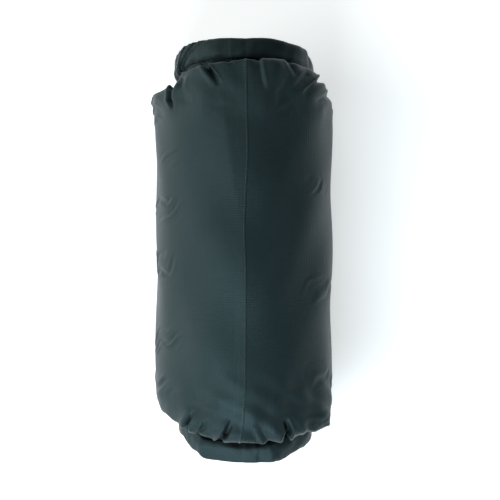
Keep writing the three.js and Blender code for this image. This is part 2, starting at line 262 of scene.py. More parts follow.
def math_node(material, operation, first, second):
    return add_node(material, "ShaderNodeMath", {0: first, 1: second}, operation=operation).outputs[0]


def ramp(material, factor, low, high):
    """Runs a 0 to 1 factor between two numbers."""
    node = add_node(material, "ShaderNodeMapRange", {"Value": factor, "To Min": low, "To Max": high})
    return node.outputs["Result"]


def blend_colors(material, factor, first, second):
    node = add_node(
        material, "ShaderNodeMix", {"Factor": factor, 6: (*first, 1), 7: (*second, 1)}, data_type="RGBA"
    )
    return node.outputs[2]


def color_between(material, shader, factor, first, second):
    """The shader's colour runs between two colours."""
    link(material, blend_colors(material, factor, first, second), shader.inputs["Base Color"])


def bump(material, shader, height, distance, strength=1.0, under=None):
    """A height in the finish, felt on top of an earlier bump if one is given."""
    inputs = {"Height": height, "Distance": distance, "Strength": strength}
    if under is not None:
        inputs["Normal"] = under
    node = add_node(material, "ShaderNodeBump", inputs)
    link(material, node.outputs["Normal"], shader.inputs["Normal"])
    return node.outputs["Normal"]


# %% [markdown]
# ## Floor finish
#
# A light table is a sheet of milky plastic with lamps under it. It is nearly white, it glows evenly, and
# it has only the faintest grain.

# %% Floor finish
table, table_shader = new_material(
    "light_table", (0.9, 0.9, 0.9), 0.9, Emission_Color=(0.97, 1.0, 1.0, 1), Emission_Strength=0.6
)
table_place = place_on_piece(table)
bump(table, table_shader, noise(table, table_place, 400), 0.05 * MM, 0.3)
floor.data.materials.append(table)

# %% [markdown]
# ## Coated nylon
#
# The cloth is a dark green-black nylon. Its threads make a fine rib across the sack, and the coating
# gives it a soft satin gloss. Each piece of cloth carries its cutting pattern as texture coordinates in
# metres, so the threads follow the folds as real ones do: the rib is one set of waves along the
# pattern, crossed by a finer one. Handling leaves cloudy patches that are a little duller and greyer.
# The bottom of a tight fold is nearly black, since light hardly gets there, and that shade is painted into
# the colour. So each piece of cloth also carries how much painted shade it gets at every point, and the
# colour follows that.


# %% Cloth finish
REED_LINES = 360
RIBS = 1250
CROSS_THREADS = 1500
# The colour that painted shade darkens the cloth to, at the bottom of folds and in the gaps by the rolls.
CREASE_SHADE = (0.0006, 0.0012, 0.0013)


def reed_lines(material, pattern, place_of):
    """Faint wider lines left by the loom, along the cloth in some patches and across it in others."""
    patches = ramp(material, noise(material, place_of, 9, 1), -1.2, 2.2)
    along = math_node(material, "MULTIPLY", waves(material, pattern, REED_LINES, "X"), patches)
    opposite = math_node(material, "SUBTRACT", 1.0, patches)
    across = math_node(material, "MULTIPLY", waves(material, pattern, REED_LINES, "Y"), opposite)
    return math_node(material, "ADD", along, across)


def make_cloth(name, dark, light, rough_low, rough_high):
    material, shader = new_material(
        name, dark, 0.45,
        Sheen_Weight=0.03, Sheen_Roughness=0.4, Sheen_Tint=(0.75, 0.9, 0.95, 1), Specular_IOR_Level=0.26,
        Specular_Tint=(0.6, 0.95, 1.0, 1),
    )
    pattern = place_on_pattern(material)
    place_of = place_on_piece(material)
    ribs = waves(material, pattern, RIBS, "Y")
    crossing = waves(material, pattern, CROSS_THREADS, "X")
    weave = math_node(material, "ADD", ribs, math_node(material, "MULTIPLY", crossing, 0.7))
    clouds = noise(material, place_of, 14, 4)
    streaks = noise(material, stretch(material, pattern, (700, 25, 1)), 1, 2)
    slubs = noise(material, stretch(material, pattern, (25, 700, 1)), 1, 2)
    threads = math_node(material, "MULTIPLY", math_node(material, "ADD", streaks, slubs), 0.5)
    shade = math_node(material, "ADD", math_node(material, "MULTIPLY", clouds, 0.5),
                      math_node(material, "MULTIPLY", threads, 0.5))
    worn = blend_colors(material, shade, dark, light)
    # Painted shade: the colour is darkened towards CREASE_SHADE by the attribute stored on each piece.
    painted_shade = add_node(material, "ShaderNodeAttribute", attribute_name="painted_shade").outputs["Fac"]
    painted_shading = add_node(
        material, "ShaderNodeMix", {0: painted_shade, 6: worn, 7: (*CREASE_SHADE, 1)}, data_type="RGBA"
    )
    link(material, painted_shading.outputs[2], shader.inputs["Base Color"])
    link(material, ramp(material, clouds, rough_low, rough_high), shader.inputs["Roughness"])
    soft = bump(material, shader, noise(material, place_of, 90, 2), 0.4 * MM, 0.3)
    coarse = bump(material, shader, threads, 0.25 * MM, 0.5, under=soft)
    finer = bump(material, shader, weave, 0.1 * MM, 0.6, under=coarse)
    bump(material, shader, reed_lines(material, pattern, place_of), 0.12 * MM, 0.5, under=finer)
    return material


cloth = make_cloth("coated_nylon", (0.0095, 0.019, 0.0205), (0.026, 0.04, 0.0425), 0.38, 0.52)
print("cloth ready")

# %% [markdown]
# ## Helpers for shapes
#
# Most pieces here are a section carried along a path, so they are made as a grid of points: one
# direction round the section, the other along the path. One helper turns such a grid into a mesh, and
# gives it its cloth coordinates. Smooth random ripples come from a few sine waves in seeded random
# directions, which is plenty for cloth, and the same on every run.


# %% Shape helpers
SHARP_ABOVE = math.radians(50)


def unit(vectors):
    """Each vector at a length of one."""
    return vectors / np.maximum(np.linalg.norm(vectors, axis=-1, keepdims=True), 1e-12)


def run_length(path):
    """How far each point of a path is from its first point, along the path."""
    return np.r_[0, np.cumsum(np.linalg.norm(np.diff(path, axis=0), axis=1))]


def grid_faces(across, along, closed):
    """Quads of a grid of across x along points, wrapped round in the first direction if closed."""
    i = np.arange(across if closed else across - 1)[:, None]
    j = np.arange(along - 1)[None, :]
    here, beside = i * along + j, (i + 1) % across * along + j
    return np.stack([here, beside, beside + 1, here + 1], -1).reshape(-1, 4)


def end_caps(across, along, base=0):
    """The two end faces of a grid that is wrapped round."""
    first = [base + i * along for i in range(across)]
    last = [base + i * along + along - 1 for i in reversed(range(across))]
    return [first, last]


def mesh_object(name, points, faces, material, smooth=True):
    mesh = bpy.data.meshes.new(name)
    corners = [list(map(int, face)) for face in faces]
    mesh.from_pydata(np.asarray(points, float).reshape(-1, 3).tolist(), [], corners)
    mesh.update()
    if smooth:
        mesh.shade_smooth()
    if material:
        mesh.materials.append(material)
    piece = bpy.data.objects.new(name, mesh)
    bpy.context.scene.collection.objects.link(piece)
    return piece


def grid_object(name, grid, material, closed=False, pattern=None, caps=False):
    """A piece from a grid of points.

    Its pattern is the places across and along the flat cloth, in metres, and has one more place than
    the grid in the first direction if the grid is wrapped round.
    """
    across, along, _ = grid.shape
    faces = grid_faces(across, along, closed).tolist()
    side_count = len(faces)
    if caps:
        faces += end_caps(across, along)
    piece = mesh_object(name, grid, faces, material)
    if caps:
        piece.data.set_sharp_from_angle(angle=SHARP_ABOVE)
    if pattern is not None:
        uv = np.zeros((len(piece.data.loops), 2))
        flat = np.stack(np.broadcast_arrays(*pattern), -1)
        corners = [flat[:-1, :-1], flat[1:, :-1], flat[1:, 1:], flat[:-1, 1:]]
        uv[: 4 * side_count] = np.stack(corners, -2).reshape(-1, 2)
        layer = piece.data.uv_layers.new(name="cloth")
        layer.data.foreach_set("uv", uv.reshape(-1))
    return piece


def ripples(points, wavelength, seed, count=14):
    """Smooth random heights about zero, mostly within -1 and 1, at points in space."""
    rng = np.random.default_rng(seed)
    ways = unit(rng.normal(size=(count, 3)))
    ways *= 2 * math.pi / (wavelength * rng.uniform(0.7, 1.5, (count, 1)))
    phases = rng.uniform(0, 2 * math.pi, count)
    return np.sin(points @ ways.T + phases).sum(-1) / math.sqrt(count / 2)


# %% [markdown]
# ## How each closure was forced round
#
# A rolled mouth is stiff, so a hand that bends it into a loop never gets a true circle in one plane. The
# roll kinks at a few places and runs straighter between them, and its shoulders slip back towards the
# sack. Both are written down here as a few angles round the loop with a value at each, because the
# sack, the roll and the strips inside the roll all have to follow the same path.

# %% The path of each loop
# Angles round the loop where each roll kinks, how far out it stands there, and how straight it runs.
KINKS = {
    "head": ([-126, -92, -66, -30, 8, 52, 84, 126], [1, 1.05, 1.03, 0.99, 1, 1.05, 1.05, 1], 0.25),
    "foot": ([-126, -90, -70, -28, 44, 68, 92, 126], [1, 1.03, 1.05, 1.0, 1.0, 1.0, 0.97, 1], 0.75),
}
# Angles round the loop, and how far the roll has slipped back towards the sack there, in millimetres.
SLIPS = {
    "head": ([-126, -100, -84, -60, 45, 62, 76, 90, 126], [0, 6, 3, 2.5, 2, 2.5, 7, 10, 0]),
    "foot": ([-126, -96, -75, -60, -32, 36, 50, 66, 96, 126], [0, 11, 12, 8, 0, 0, 7, 18, 14, 0]),
}


def smoothstep(low, high, value):
    t = np.clip((value - low) / (high - low), 0, 1)
    return t * t * (3 - 2 * t)


def eased(value, stops, levels):
    """Levels at a few stops, joined by soft steps."""
    result = np.full(np.shape(value), float(levels[0]))
    for k in range(len(stops) - 1):
        result = result + (levels[k + 1] - levels[k]) * smoothstep(stops[k], stops[k + 1], value)
    return result


def loop_point(angle, radius, v, end):
    """A point at an angle round a closure's loop, at a radius as if the loop were round."""
    angle = np.asarray(angle, float)
    degrees, stand, straightness = KINKS[end]
    kinks = np.radians(degrees) * ROLL_HALF_ANGLE / math.radians(126)
    stand_out = eased(angle, kinks, stand)
    x = (1 - straightness) * np.sin(angle) * stand_out
    x = x + straightness * np.interp(angle, kinks, np.sin(kinks) * stand)
    w = (1 - straightness) * np.cos(angle) * stand_out
    w = w + straightness * np.interp(angle, kinks, np.cos(kinks) * stand)
    beyond = radius - ROLL_RADIUS
    slip = eased(np.degrees(angle), SLIPS[end][0], SLIPS[end][1]) * MM
    parts = [x * ROLL_RADIUS + np.sin(angle) * beyond, v - slip, w * ROLL_RADIUS + np.cos(angle) * beyond]
    return place(np.stack(np.broadcast_arrays(*parts), -1), end)


# %% [markdown]
# ## The sack before it is blown up
#
# Simulated cloth needs two shapes: where it starts, and what it was cut as. It starts as lines of
# cloth that run along the barrel, turn in over the shoulder and enter the flattened, curved mouth of
# each closure. The top half of the tube becomes the outer ply of the mouth and the bottom half the
# inner ply. It was cut as a plain straight tube, a little longer than the shortest way round each
# shoulder, and that spare cloth is what puckers round the mouths.

# %% Lines of cloth
AROUND = 168
HALF_ROWS = 62
MOUTH_INSET = 4 * MM
MOUTH_HALF_GAP = 2.2 * MM
MOUTH_RISE = 0.8 * MM
END_GAP = 12 * MM
END_TILT = math.radians(21)
SHOULDER_START = 50 * MM
SHOULDER_FULLNESS = 0.86


def mouth_point(turn, end):
    """Where the line at this turn round the closure's own barrel, 0 on top, enters the mouth."""
    front = abs(turn) <= math.pi / 2 + 1e-9
    share = (turn if front else math.copysign(math.pi, turn) - turn) / (math.pi / 2)
    opening = MOUTH_HALF_GAP * min(1, (1 - abs(share)) / 0.08)
    radius = ROLL_RADIUS - MOUTH_INSET + (opening if front else -opening)
    return loop_point(share * ROLL_HALF_ANGLE, radius, MOUTH_RISE, end)


def cloth_line(turn, rows, end):
    """Points from mid-length to one mouth, closer together near the mouth, and their lengths."""
    own_turn = turn if end == "head" else -turn
    way = 1 if end == "head" else -1
    x = BARREL_RADIUS * math.sin(turn)
    z = max(BARREL_AXIS_Z + BARREL_RADIUS * math.cos(turn), 0.0)
    end_y = LOOP_CENTRE[1] + (z - LOOP_CENTRE[2]) * math.tan(END_TILT) - END_GAP
    corner = np.array([x, way * end_y, z])
    start = np.array([x, way * (end_y - SHOULDER_START), z])
    mouth = mouth_point(own_turn, end)
    leave = start + (corner - start) * SHOULDER_FULLNESS
    arrive = mouth + (corner - mouth) * SHOULDER_FULLNESS
    t = np.linspace(0, 1, 48)[:, None]
    curve = (1 - t) ** 3 * start + 3 * (1 - t) ** 2 * t * leave
    curve = curve + 3 * (1 - t) * t**2 * arrive + t**3 * mouth
    curve = np.vstack([[x, 0, z], curve])
    length = run_length(curve)
    share = 1 - (1 - np.linspace(0, 1, rows)) ** 1.35
    at = share * length[-1]
    return np.stack([np.interp(at, length, curve[:, k]) for k in range(3)], 1), at


turns = 2 * math.pi * np.arange(AROUND) / AROUND
turns = np.where(turns > math.pi + 1e-9, turns - 2 * math.pi, turns)
lines = {end: [cloth_line(turn, HALF_ROWS, end) for turn in turns] for end in ENDS}
grids = {end: np.stack([line for line, _ in lines[end]]) for end in ENDS}
lengths = {end: np.stack([at for _, at in lines[end]]) for end in ENDS}


def whole(foot, head):
    """Foot and head halves of a field over the cloth, joined at mid-length."""
    return np.concatenate([foot[:, :0:-1], head], 1)


start_grid = whole(grids["foot"], grids["head"])
print("line lengths from the middle:", {end: lengths[end][:, -1].round(3).max() for end in ENDS})

# %% [markdown]
# ## Blowing up the cloth
#
# Blender's cloth solver takes the cutting pattern as a shape key: every thread wants its length in the
# pattern, whatever shape the cloth starts in. The mouths are pinned, gravity is off, and pressure from
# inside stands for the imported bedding. The tube can't get wider than its girth, so the pressure fills
# the shoulders and throws the spare cloth into soft puckers, which no hand-drawn surface matches.

# %% Simulate
SPARE_AT_NECK = 10 * MM
PRESSURE = 9.0
SIM_FRAMES = 34


def cutting_pattern():
    """The tube as it was cut, with spare length spread over the shoulders."""
    cut = {}
    for end in ENDS:
        end_zone = smoothstep(0.55, 1.0, lengths[end] / lengths[end][:, -1:])
        cut[end] = lengths[end] + SPARE_AT_NECK * end_zone
    y = whole(-cut["foot"], cut["head"])
    angles = turns[:, None] * np.ones_like(y)
    x = BARREL_RADIUS * np.sin(angles)
    return np.stack([x, y, BARREL_AXIS_Z + BARREL_RADIUS * np.cos(angles)], -1)


def simulate(start, pattern):
    across, along, _ = start.shape
    bumps = ripples(start, 34 * MM, 11)[..., None] * 1.2 * MM
    bumps = bumps * smoothstep(0.12, 0.17, np.abs(start[..., 1:2]))
    outward = unit((start - (0, 0, BARREL_AXIS_Z)) * (1, 0, 1))
    bumps[:, 0] = bumps[:, -1] = 0
    trial = mesh_object("cloth_trial", start + outward * bumps, grid_faces(across, along, True), None)
    trial.shape_key_add(name="start")
    key = trial.shape_key_add(name="pattern")
    key.data.foreach_set("co", pattern.reshape(-1))
    key.value = 0
    pins = trial.vertex_groups.new(name="mouths")
    pins.add([int(i * along + j) for i in range(across) for j in (0, along - 1)], 1.0, "REPLACE")
    modifier = trial.modifiers.new("cloth", "CLOTH")
    settings = modifier.settings
    settings.quality = 7
    settings.mass = 0.15
    settings.tension_stiffness = settings.compression_stiffness = 60
    settings.shear_stiffness = 12
    settings.bending_stiffness = 0.6
    settings.vertex_group_mass = "mouths"
    settings.rest_shape_key = key
    settings.use_pressure = True
    settings.uniform_pressure_force = PRESSURE
    settings.effector_weights.gravity = 0
    modifier.collision_settings.use_collision = False
    modifier.point_cache.frame_start = 1
    modifier.point_cache.frame_end = SIM_FRAMES
    for step in range(1, SIM_FRAMES + 1):
        bpy.context.scene.frame_set(step)
    blown = trial.evaluated_get(bpy.context.evaluated_depsgraph_get()).to_mesh()
    points = np.empty(3 * across * along)
    blown.vertices.foreach_get("co", points)
    bpy.data.objects.remove(trial)
    bpy.context.scene.frame_set(1)
    return points.reshape(across, along, 3)


sack_grid = simulate(start_grid, cutting_pattern())
print(f"blown up: {np.ptp(sack_grid[..., 0]):.3f} x {np.ptp(sack_grid[..., 1]):.3f} m")

# %% [markdown]
# ## Finer cloth
#
# The solver's grid is too coarse for a crisp fold, so the result is refined on smooth curves through the
# solved points: four times as many round the sack, where folds are narrow, and twice as many along it.
# The front is then laid flat where it rests on the table.


# %% Refine and settle
def refine(grid, axis, closed):
    """Twice as many points along one axis, on Catmull-Rom curves through the old ones."""
    grid = np.moveaxis(grid, axis, 0)
    count = len(grid)
    index = np.arange(count if closed else count - 1)

    def at(i):
        return grid[i % count] if closed else grid[np.clip(i, 0, count - 1)]

    middle = (9 * (at(index) + at(index + 1)) - at(index - 1) - at(index + 2)) / 16
    fine = np.empty((count * 2 if closed else count * 2 - 1, *grid.shape[1:]))
    fine[0::2] = grid
    fine[1::2] = middle
    return np.moveaxis(fine, 0, axis)


def grid_normals(grid):
    around = np.roll(grid, -1, 0) - np.roll(grid, 1, 0)
    along = np.gradient(grid, axis=1)
    return unit(np.cross(around, along))


fine_grid = refine(refine(refine(sack_grid, 0, True), 0, True), 1, False)
REST_SOFTNESS = 1.5 * MM
low = fine_grid[..., 2]
fine_grid[..., 2] = np.where(low > 8 * MM, low, REST_SOFTNESS * np.logaddexp(0, low / REST_SOFTNESS))
print("fine grid", fine_grid.shape[:2])

# %% [markdown]
# ## Corners that a hand pulled
#
# The solver treats both ends alike, but a packed sack is never even: one corner is stuffed full and the
# next one slack. A few soft pushes move whole corners. Each fades with distance, as a pull on real
# cloth does, and leaves the cloth that lies on the table where it is.

# %% Corners
# Each push: its middle, how far it moves the cloth, and its spread, in millimetres seen from above.
PUSHES = [
    ((-80, 191), (8, -4), 15),
    ((-92, 164), (-6, 2), 13),
    ((86, -186), (11, -7), 20),
    ((-83, -184), (1, -5), 13),
]


def reach_to_mouths(grid):
    """How far each point is from the foot mouth and from the head mouth, along its line of cloth."""
    steps = np.linalg.norm(np.diff(grid, axis=1), axis=-1)
    travelled = np.concatenate([np.zeros((len(grid), 1)), np.cumsum(steps, 1)], 1)
    return {"foot": travelled, "head": travelled[:, -1:] - travelled}


for (middle_x, middle_y), (aside, along), spread in PUSHES:
    apart = np.hypot(fine_grid[..., 0] - middle_x * MM, fine_grid[..., 1] - middle_y * MM)
    pull = np.exp(-((apart / (spread * MM)) ** 2))[..., None]
    off_table = smoothstep(0, 0.03, fine_grid[..., 2:3])
    fine_grid = fine_grid + pull * np.array([aside, along, 0.0]) * MM * off_table

reach = reach_to_mouths(fine_grid)
print(len(PUSHES), "corners pulled")

# %% [markdown]
# ## How cloth lies about a roll
#
# The next steps depend on how the cloth lies about each roll: how far round the loop it is, how far in
# or out, and how far behind the rear edge. The loops are kinked, so all three are measured from the
# same path that the rolls follow.


# %% Measures about a roll
def closure_axes(points, end):
    """Row frame points in a closure's own terms: angle round the loop, radius and distance out."""
    x, v, w = ((turned(points, end) - LOOP_CENTRE) @ axis for axis in (AXIS_X, AXIS_V, AXIS_W))
    angle = np.arctan2(x, w)
    slip = eased(np.degrees(angle), SLIPS[end][0], SLIPS[end][1]) * MM
    nominal = turned(loop_point(angle, ROLL_RADIUS, 0.0, end), end) - LOOP_CENTRE
    middle = np.hypot(nominal @ AXIS_X, nominal @ AXIS_W)
    return angle, np.hypot(x, w) - middle, v + slip


def radial(angle, end):
    """The direction straight out from a loop's middle, at an angle round it."""
    return turned(np.sin(angle)[..., None] * AXIS_X + np.cos(angle)[..., None] * AXIS_W, end)


def outwards(end):
    """The direction out of the sack, square to a closure's loop."""
    return turned(AXIS_V, end)


# %% [markdown]
# ## Lips behind the rolls
#
# At the head the cloth stops behind the roll, and at the foot a lip of it bulges over the roll's back.
# So how far cloth may stand past a roll's rear edge is limited softly, with a value at a few angles
# round the loop. Right over the roll's back the limit is lower: that undercut lets each lip hang free,
# with a gap below it, dark partly from real shadow and partly from painted shade on the roll's rear
# edge and on the cloth there. Higher up the limit falls back again, and inside the loop it has no lip.

# %% Lips
# How far cloth may stand past the rear edge of each roll, at angles round the loop, in millimetres;
# how much less close over the roll's back; and how fast the limit falls back with height above it.
LIPS = {
    "head": ([-126, -85, -66, -43, -30, -18, 0, 20, 41, 50, 62, 90, 126],
             [-8, -16, -19, -8.5, -5.5, -3, -1, 0.5, -2, -0.5, -1.5, 1, 1]),
    "foot": ([-126, -75, -62, -42, -29, -11, 0, 13, 28, 41, 55, 66, 80, 126],
             [20, 20, 4, 1, 0.5, 3.5, 4, 2.5, -6, -9, -9, -5, 10, 14]),
}
UNDERCUT = 6 * MM
UNDERCUT_HEIGHT = 9 * MM
LIP_LEANS = {"head": 0.32, "foot": 0.3}
LIP_FADE = (-45 * MM, -10 * MM)
LIP_REACH = (110 * MM, 90 * MM)


def hold_behind_rolls(grid, softness, spare=0.0):
    """Cloth stops softly at each roll's rear edge, with an undercut below the lip."""
    for end in ENDS:
        angle, beyond, out = closure_axes(grid, end)
        over = np.maximum(beyond - ROLL_THICKNESS / 2, 0) * np.maximum(np.cos(angle), 0)
        undercut = UNDERCUT * (1 - smoothstep(0, UNDERCUT_HEIGHT, over))
        lip = eased(np.degrees(angle), LIPS[end][0], LIPS[end][1]) * MM
        lip = lip * smoothstep(*LIP_FADE, beyond)
        limit = lip + spare - undercut - LIP_LEANS[end] * over
        limit = MOUTH_RISE + (limit - MOUTH_RISE) * smoothstep(0, 5 * MM, reach[end])
        held = limit - softness * np.logaddexp(0, (limit - out) / softness)
        share = smoothstep(*LIP_REACH, reach[end]) * smoothstep(0, 2 * MM, reach[end])
        grid = grid + (share * (held - out))[..., None] * outwards(end)
    return grid


fine_grid = hold_behind_rolls(fine_grid, 4 * MM)
print("lips at", {end: len(LIPS[end][0]) for end in ENDS}, "angles round each loop")

# %% [markdown]
# ## Cloth and roll kept apart, but for the edge
#
# The lips and folds can carry cloth into a roll. Such cloth is moved out over the roll's back or behind
# its rear edge, whichever is nearer. The mouth itself is wound up with the roll on the real sack, so
# the very edge of the cloth runs up between the roll's turns, and no gap shows where the two meet.

# %% Clear of the rolls
ROLL_CLEARANCE = 0.5 * MM
MOUTH_TUCK = 5 * MM
TUCK_LENGTH = 1.5 * MM
NEAR_ROLL = 60 * MM


def clear_of_rolls(grid):
    """Cloth that got into a roll is moved over its back or behind its edge, whichever is nearer."""
    for end in ENDS:
        angle, beyond, out = closure_axes(grid, end)
        over = ROLL_THICKNESS / 2 + ROLL_CLEARANCE - beyond
        inside = (reach[end] < NEAR_ROLL) & (out > MOUTH_RISE)
        inside = inside & (over > 0) & (beyond > -ROLL_THICKNESS / 2)
        go_over = inside & (over < out - MOUTH_RISE)
        go_back = inside & ~go_over
        grid = grid + np.where(go_over, over, 0)[..., None] * radial(angle, end)
        grid = grid - np.where(go_back, out - MOUTH_RISE, 0)[..., None] * outwards(end)
    return grid


def tuck_into_rolls(grid):
    """The very edge of the cloth runs up between the turns of each roll, so no gap shows."""
    for end in ENDS:
        angle = closure_axes(grid, end)[0]
        tucked = smoothstep(TUCK_LENGTH, 0, reach[end])[..., None]
        grid = grid + tucked * (MOUTH_TUCK * outwards(end) + MOUTH_INSET * radial(angle, end))
    return grid


print(f"the last {1000 * TUCK_LENGTH:.1f} mm of cloth go up into the rolls")

# %% [markdown]
# ## Folds that a hand left
#
# The solver doesn't know that someone knelt on this sack and forced its ends shut. The folds that
# stand out are listed one by one: each is a short path on the back of the sack, with a sharp valley and a
# rounded lip on both sides, deepest near the mouth and fading into the barrel. Folded cloth also leans,
# so each fold has a steep side and a slow one. The deepest ones close up to a slot with steep walls.

# %% Folds
# Each fold: path of (x, y) points, depth, half width, and lean, positive if the left side is steeper.
FOLDS = [
    ([(-70, 190), (-75, 181), (-80, 171), (-81, 162), (-76, 151)], 13.0, 1.9, -0.3),
    ([(-66, 186), (-68, 172), (-62, 158)], 2.4, 3.0, 0.4),
    ([(-42, 202), (-37, 192), (-31, 184), (-25, 175)], 9.0, 2.3, 0.4),
    ([(-24, 212), (-18, 203), (-10, 196)], 2.6, 2.2, 0.3),
    ([(15, 214), (17, 196), (22, 168)], 3.8, 3.8, 0.8),
    ([(44, 206), (50, 196), (58, 184)], 3.2, 2.6, -0.4),
    ([(70, 190), (62, 180), (52, 170)], 2.8, 3.2, -0.4),
    ([(84, 186), (76, 178), (64, 166)], 6.0, 2.6, -0.6),
    ([(96, 172), (86, 164), (76, 158)], 3.6, 3.0, -0.5),
    ([(-60, -192), (-60, -184), (-53, -171)], 11.0, 2.1, -0.4),
    ([(-50, -196), (-44, -190), (-40, -182)], 4.5, 2.4, 0.4),
    ([(-30, -207), (-21, -196), (-12, -180)], 11.0, 2.6, 0.5),
    ([(30, -211), (23, -197), (14, -180)], 4.0, 4.5, 0.6),
    ([(44, -206), (50, -192), (45, -179)], 10.0, 2.5, -0.45),
    ([(66, -202), (70, -192), (68, -182)], 3.0, 2.8, 0.3),
    ([(96, -186), (98, -178), (96, -168)], 4.5, 3.0, 0.2),
    ([(-84, -186), (-91, -177), (-94, -166)], 3.5, 3.0, -0.2),
]
# Share of a fold's depth that its valley has, and that its lips have, up to a rise in millimetres;
# how many half widths off the lips stand; and at which depths, in millimetres, a valley becomes a slot.
VALLEY_SHARE = 1.2
LIP_SHARE = 0.42
LIP_RISE = 2.4
LIPS_AWAY = 2.1
SLOT_DEPTHS = (3, 9)
SLOT_SHARE = 0.65


def distance_to_path(points, path):
    """Signed distance from points to a path, left side positive, and the share of it passed."""
    best = np.full(points.shape[:-1], np.inf)
    signed = np.zeros(points.shape[:-1])
    share = np.zeros(points.shape[:-1])
    pieces = len(path) - 1
    for k, (a, b) in enumerate(zip(path[:-1], path[1:])):
        run = b - a
        along = np.clip(((points - a) @ run) / np.dot(run, run), 0, 1)
        gap = points - (a + along[..., None] * run)
        distance = np.linalg.norm(gap, axis=-1)
        side = np.sign(run[0] * (points[..., 1] - a[1]) - run[1] * (points[..., 0] - a[0]))
        nearer = distance < best
        best = np.where(nearer, distance, best)
        signed = np.where(nearer, distance * side, signed)
        share = np.where(nearer, (k + along) / pieces, share)
    return signed, share


def press_folds(grid, folds):
    """The height that folds give each point of the back, and how much painted shade it gets."""
    height = np.zeros(grid.shape[:2])
    painted_shading = np.zeros(grid.shape[:2])
    on_back = smoothstep(BARREL_AXIS_Z - 15 * MM, BARREL_AXIS_Z + 10 * MM, grid[..., 2])
    for path, depth, half_width, lean in folds:
        signed, share = distance_to_path(grid[..., :2], np.array(path, float) * MM)
        width = half_width * MM * np.where(signed > 0, 1 - 0.6 * lean, 1 + 0.6 * lean)
        d = np.abs(signed) / width
        fade = np.clip(1 - share, 0, 1) ** 0.7 * smoothstep(-0.1, 0.12, share)
        slot = smoothstep(*SLOT_DEPTHS, depth) * SLOT_SHARE
        slope = np.exp(-1.3 * np.sqrt(d**2 + 0.05)) * smoothstep(6, 2, d)
        valley = -(1 - slot) * slope - slot * smoothstep(1.5, 0.6, d)
        lips = min(LIP_SHARE, LIP_RISE / depth) * np.exp(-((d - LIPS_AWAY) ** 2))
        height += depth * MM * fade * (VALLEY_SHARE * valley + lips)
        # Painted shade along the valley of each deep fold.
        painted_shading = np.maximum(painted_shading, smoothstep(2, 9, depth * fade) * np.exp(-((0.75 * d) ** 2)))
    return height * on_back, painted_shading * on_back


height, painted_shading = press_folds(fine_grid, FOLDS)
print(f"{len(FOLDS)} folds, {-1000 * height.min():.1f} mm at the deepest")

# %% [markdown]
# ## One line drawn tight
#
# A full sack pulls its cloth along the shortest way between the two places where it is held. That line
# stands up a little as a soft ridge that runs down the whole back beside the seam.

# %% Tight line
# The line as a path of (x, y) points, how high it stands and its half width, all in millimetres.
TIGHT_LINE = ([(-24, 180), (-17, 120), (-9, 65), (0, 22), (2, -60), (-1, -160)], 1.5, 15.0)


def tight_line(grid):
    path, rise, half_width = TIGHT_LINE
    signed, share = distance_to_path(grid[..., :2], np.array(path, float) * MM)
    d = np.abs(signed) / (half_width * MM)
    ends = smoothstep(0, 0.12, share) * smoothstep(1, 0.88, share)
    return rise * MM * ends * np.exp(-1.5 * np.sqrt(d**2 + 0.03)) * smoothstep(0.1, 0.15, grid[..., 2])


# %% [markdown]
# ## Small gathers at the mouths
#
# Between the big folds the spare cloth is taken up in many small pleats. They are sharp where the cloth
# goes into the roll and run out in the barrel, and no two are alike, so a formula with smooth random
# widths and strengths makes them.

# %% Gathers
# How deep the small gathers are at each mouth, how wide, and how far they run into the barrel.
GATHERS = {"head": (1.1 * MM, 15 * MM, 16 * MM), "foot": (2.4 * MM, 15 * MM, 20 * MM)}


def gathers(grid):
    around = np.linspace(0, 1, len(grid), endpoint=False)
    height = np.zeros(grid.shape[:2])
    for seed, end in enumerate(ENDS):
        depth, width, run = GATHERS[end]
        ring = np.stack([np.cos(2 * math.pi * around), np.sin(2 * math.pi * around), 0 * around], -1)
        drift = ripples(ring * BARREL_RADIUS, 60 * MM, 71 + seed)
        strength = 0.4 + 0.6 * smoothstep(-1, 1, ripples(ring * BARREL_RADIUS, 45 * MM, 75 + seed))
        phase = math.pi * (GIRTH * around / width + 0.9 * drift)
        pleat = np.abs(np.sin(phase)) ** 0.7 - 0.7
        fade = np.exp(-reach[end] / (run * strength[:, None])) * smoothstep(0, 3 * MM, reach[end])
        height += depth * fade * (pleat * strength)[:, None]
    return height


# %% [markdown]
# ## Fine wrinkles down the sides
#
# The load settles askew and twists the cloth a little along both sides. Coated nylon answers with fine
# slanted wrinkles that come and go in patches.

# %% Side wrinkles
WRINKLE_HEIGHT = 0.7 * MM
WRINKLE_PITCH, FINE_WRINKLE_PITCH = 16 * MM, 9 * MM
WRINKLE_PATCHES = 46 * MM


def tension_wrinkles(grid):
    """Fine slanted wrinkles along both sides of the barrel, where the load pulls the cloth askew."""
    x, y, z = grid[..., 0], grid[..., 1], grid[..., 2]
    side = smoothstep(0.058, 0.086, np.abs(x)) * smoothstep(0.02, 0.06, z)
    patches = smoothstep(0.2, 1.3, ripples(grid * (0.3, 1, 0.3), WRINKLE_PATCHES, 23))
    slant = y + 0.5 * z * np.sign(x) + 5 * MM * ripples(grid, 50 * MM, 5)
    wave = np.sin(2 * math.pi * slant / WRINKLE_PITCH)
    wave = wave + 0.5 * np.sin(2 * math.pi * slant / FINE_WRINKLE_PITCH + 1)
    return WRINKLE_HEIGHT * side * patches * wave


# %% [markdown]
# ## All creases on one surface
#
# Broad soft hollows show where the load has settled. All heights are added up and raised along the
# surface's own normals. Near a mouth no valley may go deeper than the cloth there has room for. Then
# the lips are held again, a little further out and crisper, the cloth is moved out of the rolls, and
# its edge is tucked in. The last stretch before each roll gets painted shade, as the folds do.

# %% Raise the creases
HOLLOW_DEPTH = 0.9 * MM
HOLLOW_LENGTH = 60 * MM
ROOM_NEAR_MOUTH = 0.4
SHADE_BEFORE_ROLL = (16 * MM, 7 * MM)

